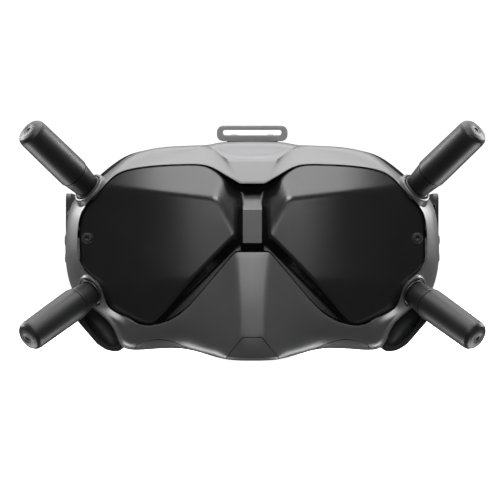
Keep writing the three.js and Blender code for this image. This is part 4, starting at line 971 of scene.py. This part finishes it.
def swollen(pad):
    """Blows the padding up as cloth, held at its flange, with no point moving further than a limit."""
    remesh = pad.modifiers.new("remesh", "REMESH")
    remesh.mode = "VOXEL"
    remesh.voxel_size = FOAM_VOXEL * MM
    applied(pad)
    rest = np.array([v.co[:] for v in pad.data.vertices])
    held = pad.vertex_groups.new(name="held")
    seated_points = np.nonzero(rest[:, 1] / MM - face_depth(rest[:, 0] / MM) < FOAM_HELD)[0]
    held.add(seated_points.tolist(), 1.0, "REPLACE")
    cloth = pad.modifiers.new("cloth", "CLOTH")
    cloth.settings.use_pressure = True
    cloth.settings.uniform_pressure_force = FOAM_PRESSURE
    cloth.settings.effector_weights.gravity = 0.0
    cloth.settings.vertex_group_mass = "held"
    for step in range(1, FOAM_LAST_FRAME + 1):
        SCENE.frame_set(step)
    applied(pad)
    move = np.array([v.co[:] for v in pad.data.vertices]) - rest
    length = np.linalg.norm(move, axis=1, keepdims=True)
    share = np.minimum(1, FOAM_LARGEST_MOVE * MM / np.maximum(length, 1e-9))
    pad.data.vertices.foreach_set("co", (rest + move * share).ravel())
    SCENE.frame_set(1)


def padded_ring():
    """The foam rim: a crowned ring that bulges between the flange and its sewn edge."""
    net = np.stack([whole(face_ring(out * FOAM_START, back)) for out, back in FOAM_SECTION], 1)
    flat = np.zeros(net.shape[:2])
    flat[:, [0, 7]] = 2
    pad = ring_object("face_padding", refined(net, flat, np.zeros_like(flat), 2))
    swollen(pad)
    smooth = pad.modifiers.new("smooth", "SMOOTH")
    smooth.factor = 0.5
    smooth.iterations = 6
    rounder = pad.modifiers.new("subdivision", "SUBSURF")
    rounder.levels = 1
    return applied(pad)


padding = padded_ring()
placed(padding, "foam_fabric", nodes=("foam_padding",), angle=80)


def tube_ring(name, path, radius, sides=10):
    """A closed bead along a closed path."""
    path = np.asarray(path, float)
    tangent = np.roll(path, -1, 0) - np.roll(path, 1, 0)
    tangent /= np.linalg.norm(tangent, axis=1, keepdims=True)
    across = np.cross(tangent, [0, 1, 0])
    across /= np.linalg.norm(across, axis=1, keepdims=True)
    up = np.cross(across, tangent)
    angle = np.linspace(0, 2 * math.pi, sides, endpoint=False)
    spokes = across[:, None] * np.cos(angle)[:, None] + up[:, None] * np.sin(angle)[:, None]
    return welded(ring_object(name, path[:, None] + radius * spokes), 1e-8)


def smooth_path(path, times=3):
    points = np.asarray(path, float)[None]
    keep = np.zeros(points.shape[:2])
    for _ in range(times):
        points, keep, _ = halved(points, keep, keep, 1)
    return points[0]


seam = tube_ring("padding_seam", smooth_path(whole(face_ring(5.75, 3.2))), 0.55)
placed(seam, "foam_fabric", look=LOOKS["foam_fabric"])


# ---------------------------------------------------------------- antennas

NECK = [
    [3.3, 0.6], [5.9, 0.6], [6.2, 1.0], [7.25, 9.3], [7.35, 9.7], [7.3, 10.05], [0, 10.05], [0, 8], [3.3, 8],
    [3.3, 0.6],
]
SLEEVE = [
    [0, 10.4], [7.35, 10.4], [7.75, 10.8], [7.78, 14], [7.66, 28], [7.5, 40.9], [7.2, 42.6], [6.1, 43.9],
    [4.4, 44.5], [2.6, 44.7], [2.4, 44.45], [1.2, 44.45], [1.05, 43.9], [0, 43.9],
]
FLANGE = [
    [0, -1.2], [6.8, -1.2], [6.8, -0.1], [6.55, 0.3], [6.1, 0.3], [5.95, 0.05], [5.0, 0.05], [3.1, 0.05],
    [3.1, 7.5], [0, 7.5],
]
for corner_name, corner in ANTENNAS.items():
    for name, side in SIDES:
        label = f"{corner_name}_{name}"
        flange = seated(lathe(f"antenna_flange_{label}", FLANGE, 96), corner, side)
        placed(flange, "dark_metal", nodes=(f"antenna_connector_{label}",))
        neck = seated(lathe(f"antenna_foot_{label}", NECK, 96), corner, side)
        placed(neck, "antenna_plastic", f"antenna_{label}", (f"antenna_neck_{label}",))
        sleeve = seated(lathe(f"antenna_cap_{label}", filleted(SLEEVE, 0.25, 3), 96), corner, side)
        placed(sleeve, "antenna_plastic", f"antenna_{label}", (f"antenna_sleeve_{label}",))


# ---------------------------------------------------------------- strap loop and arms

def rounded_rect(half_width, bottom, top, radius, steps=10):
    points = []
    for cx, cz, start in (
        (half_width - radius, bottom + radius, -90), (half_width - radius, top - radius, 0),
        (-half_width + radius, top - radius, 90), (-half_width + radius, bottom + radius, 180),
    ):
        for a in np.radians(np.linspace(start, start + 90, steps)):
            points.append([cx + radius * math.cos(a), cz + radius * math.sin(a)])
    return points


LOOP = {"half": 18, "height": 7.8, "depth": 4.2, "corner": 3.2, "lean": 9, "place": (0, 8.7, 110.6)}
LOOP_SLOT = {"half": 14.9, "bottom": 2.8, "top": 5.7, "corner": 1.2}
KNUCKLE_HALF = 7


def strap_loop():
    outline = rounded_rect(LOOP["half"], 0, LOOP["height"], LOOP["corner"])
    slot = rounded_rect(LOOP_SLOT["half"], LOOP_SLOT["bottom"], LOOP_SLOT["top"], LOOP_SLOT["corner"])
    ring = prism("strap_ring", outline, -LOOP["depth"], 0, (0, 2))
    cut(ring, prism("tool", slot, -8, 2, (0, 2)))
    bevelled(ring, 0.8, 4, 50)
    lean = Matrix.Rotation(math.radians(LOOP["lean"]), 4, "X")
    ring.data.transform(Matrix.Translation(Vector(LOOP["place"]) * MM) @ lean)
    tongue = solid_box("tool", (-KNUCKLE_HALF, 6.5, 110.5), (KNUCKLE_HALF, LOOP_PIN[1], 112.3))
    joined(ring, bevelled(tongue, 0.3, 2))
    joined(ring, on_pin(rod(1.8, -KNUCKLE_HALF, KNUCKLE_HALF)))
    return cut(ring, on_pin(rod(1.1, -20, 20, 32)))


placed(strap_loop(), "light_plastic", "strap_loop", ("top_strap_loop",))


# ---------------------------------------------------------------- the rest, from the frame's own nodes

def softened_node(name, slot, width=0.25, body="housing", look=None, angle=34.0, within=None):
    """A node's own solid, kept within an outline where one is given, with its edges rounded over."""
    source = NODES[name]
    piece = copied(source, name + "_detail")
    piece.parent = None
    for key in list(piece.keys()):
        del piece[key]

    def change(bm):
        bmesh.ops.remove_doubles(bm, verts=bm.verts, dist=1e-6)
        bmesh.ops.dissolve_limit(bm, angle_limit=math.radians(0.6), verts=bm.verts, edges=bm.edges)
    edited(piece, change)
    if within:
        kept(piece, within)
    if width:
        bevelled(piece, width, 2, 40)
    return placed(piece, slot, body, (name,), angle, look)


def side_plate(node_name, radius):
    """The rounded outline, seen from the side, that fills a node's box."""
    low, high = (np.array(corner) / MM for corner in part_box(node_name))
    half = (high[1] - low[1]) / 2
    outline = [[low[1] + half + y, z] for y, z in rounded_rect(half, low[2], high[2], radius)]
    return prism("tool", outline, low[0] - 1, high[0] + 1, (1, 2))


for name, _ in SIDES:
    arm = f"strap_arm_{name}"
    softened_node(arm, "black_plastic", 0.7, within=side_plate(arm, 3.5))
    softened_node(f"lens_barrel_{name}", "black_plastic", 0.35, f"optics_{name}")
    softened_node(f"ipd_knob_{name}", "rubber", 0.4, f"optics_{name}")
softened_node("lens_shroud", "black_plastic", 0.2)
softened_node("intake_grille", "black_plastic", 0.15)
softened_node("port_cover", "rubber", 0.3, "socket_flap")
softened_node("channel_display", "screen", 0.15)
softened_node("link_button", "rubber", 0.2, "link")
softened_node("stick_cap", "rubber", 0.0, "stick_top", angle=60)
softened_node("record_button", "rubber", 0.2, "record")
softened_node("back_button", "rubber", 0.2, "back")
softened_node("channel_up_button", "rubber", 0.2, "channel_up")
softened_node("channel_down_button", "rubber", 0.2, "channel_down")
softened_node("heat_sink", "aluminium", 0.15)
softened_node("mid_frame", "aluminium", 0.15)

LENS = {"radius": 17.2, "half": 4.0, "sag": 2.6, "place": (32, 12, 60)}


def lens_face(steps=24):
    """One face of a lens, from its middle out: [radius, height above the middle plane]."""
    shares = [k / steps for k in range(steps + 1)]
    return [[LENS["radius"] * t, LENS["half"] - LENS["sag"] * t ** 2] for t in shares]


for name, side in SIDES:
    profile = [[r, -z] for r, z in lens_face()] + lens_face()[::-1]
    x, y, z = LENS["place"]
    lens = aim(lathe(f"eyepiece_{name}", profile, 96), (0, 1, 0), (side * x, y, z))
    placed(lens, "lens_glass", f"optics_{name}", (f"lens_{name}",), angle=60)

slots = {row["node"]: row["material_slot"] for row in frame["record"]["subparts"]}
for name, obj in NODES.items():
    obj.data.materials.clear()
    obj.data.materials.append(LOOKS[slots[name]])

bpy.data.objects.remove(shell)


# ---------------------------------------------------------------- floor, backdrop and light

STAGE_RADIUS = 2.6
STAGE_BEND = 0.8


def stage_material():
    """White paper that glows a little, so that it stays pale under a soft light."""
    mat, tree, shader = new_material("stage_paper")
    coords = tree.nodes.new("ShaderNodeTexCoord").outputs["Object"]
    tone = tinted(tree, noise(tree, coords, 3.0), (0.90, 0.90, 0.90), (0.92, 0.92, 0.92))
    tree.links.new(tone, shader.inputs["Base Color"])
    shader.inputs["Roughness"].default_value = 0.9
    shader.inputs["Specular IOR Level"].default_value = 0.0
    shader.inputs["Emission Color"].default_value = (1, 1, 1, 1)
    shader.inputs["Emission Strength"].default_value = 0.97
    return mat


def cyclorama():
    """A round pale floor that curves up into a wall on every side."""
    bend = np.linspace(0, math.pi / 2, 16)
    profile = [(0, 0), (0.3, 0), (1.0, 0)]
    profile += [(STAGE_RADIUS + STAGE_BEND * (math.sin(a) - 1), STAGE_BEND * (1 - math.cos(a))) for a in bend]
    profile += [(STAGE_RADIUS, 6.0)]
    made = lathe("cyclorama", np.array(profile) / MM, 96)
    made.location.z = -0.0002
    made.data.materials.append(stage_material())
    made.data.polygons.foreach_set("use_smooth", [True] * len(made.data.polygons))
    made.visible_diffuse = False
    made.visible_glossy = False
    made.visible_shadow = False


cyclorama()


# name: place, what it points at, size across and along, watts
LIGHTS = {
    "top_box": ((0, 0.05, 0.9), (0, 0, 0.06), (1.0, 0.7), 12.6),
    "top_front": ((0, -0.62, 0.72), (0, 0, 0.06), (1.0, 0.35), 4.0),
    "high_front": ((0, -1.05, 0.66), (0, 0, 0.06), (0.3, 0.16), 1.8),
    "front_fill": ((0, -1.3, 0.16), (0, 0, 0.06), (0.5, 0.16), 0.85),
    "front_strip": ((0.46, -1.22, 0.16), (0, 0, 0.06), (0.26, 0.2), 0.33),
    "top_rear": ((0, 0.62, 0.72), (0, 0, 0.06), (1.2, 0.4), 4.2),
    "rim": ((0.75, 0.32, 0.4), (0, 0, 0.06), (0.3, 0.5), 7.5),
    "under": ((0.45, 0.15, -0.5), (0, 0, 0.06), (0.4, 0.4), 3.6),
}


def area_light(name, place, target, size, power):
    data = bpy.data.lights.new(name, "AREA")
    data.shape = "RECTANGLE"
    data.size, data.size_y = size
    data.energy = power
    lamp = bpy.data.objects.new(name, data)
    SCENE.collection.objects.link(lamp)
    lamp.location = place
    lamp.rotation_euler = (Vector(target) - Vector(place)).to_track_quat("-Z", "Y").to_euler()
    lamp.visible_camera = False


for name, (place, target, size, power) in LIGHTS.items():
    sides = (1, -1) if place[0] else (1,)
    for side in sides:
        area_light(f"{name}_{side + 1}", (side * place[0], *place[1:]), target, size, power)

world = bpy.data.worlds.new("studio")
SCENE.world = world
world.use_nodes = True
sky = world.node_tree.nodes["Background"]
sky.inputs["Color"].default_value = (1, 1, 1, 1)
sky.inputs["Strength"].default_value = 0.08
SCENE.view_settings.view_transform = "Standard"
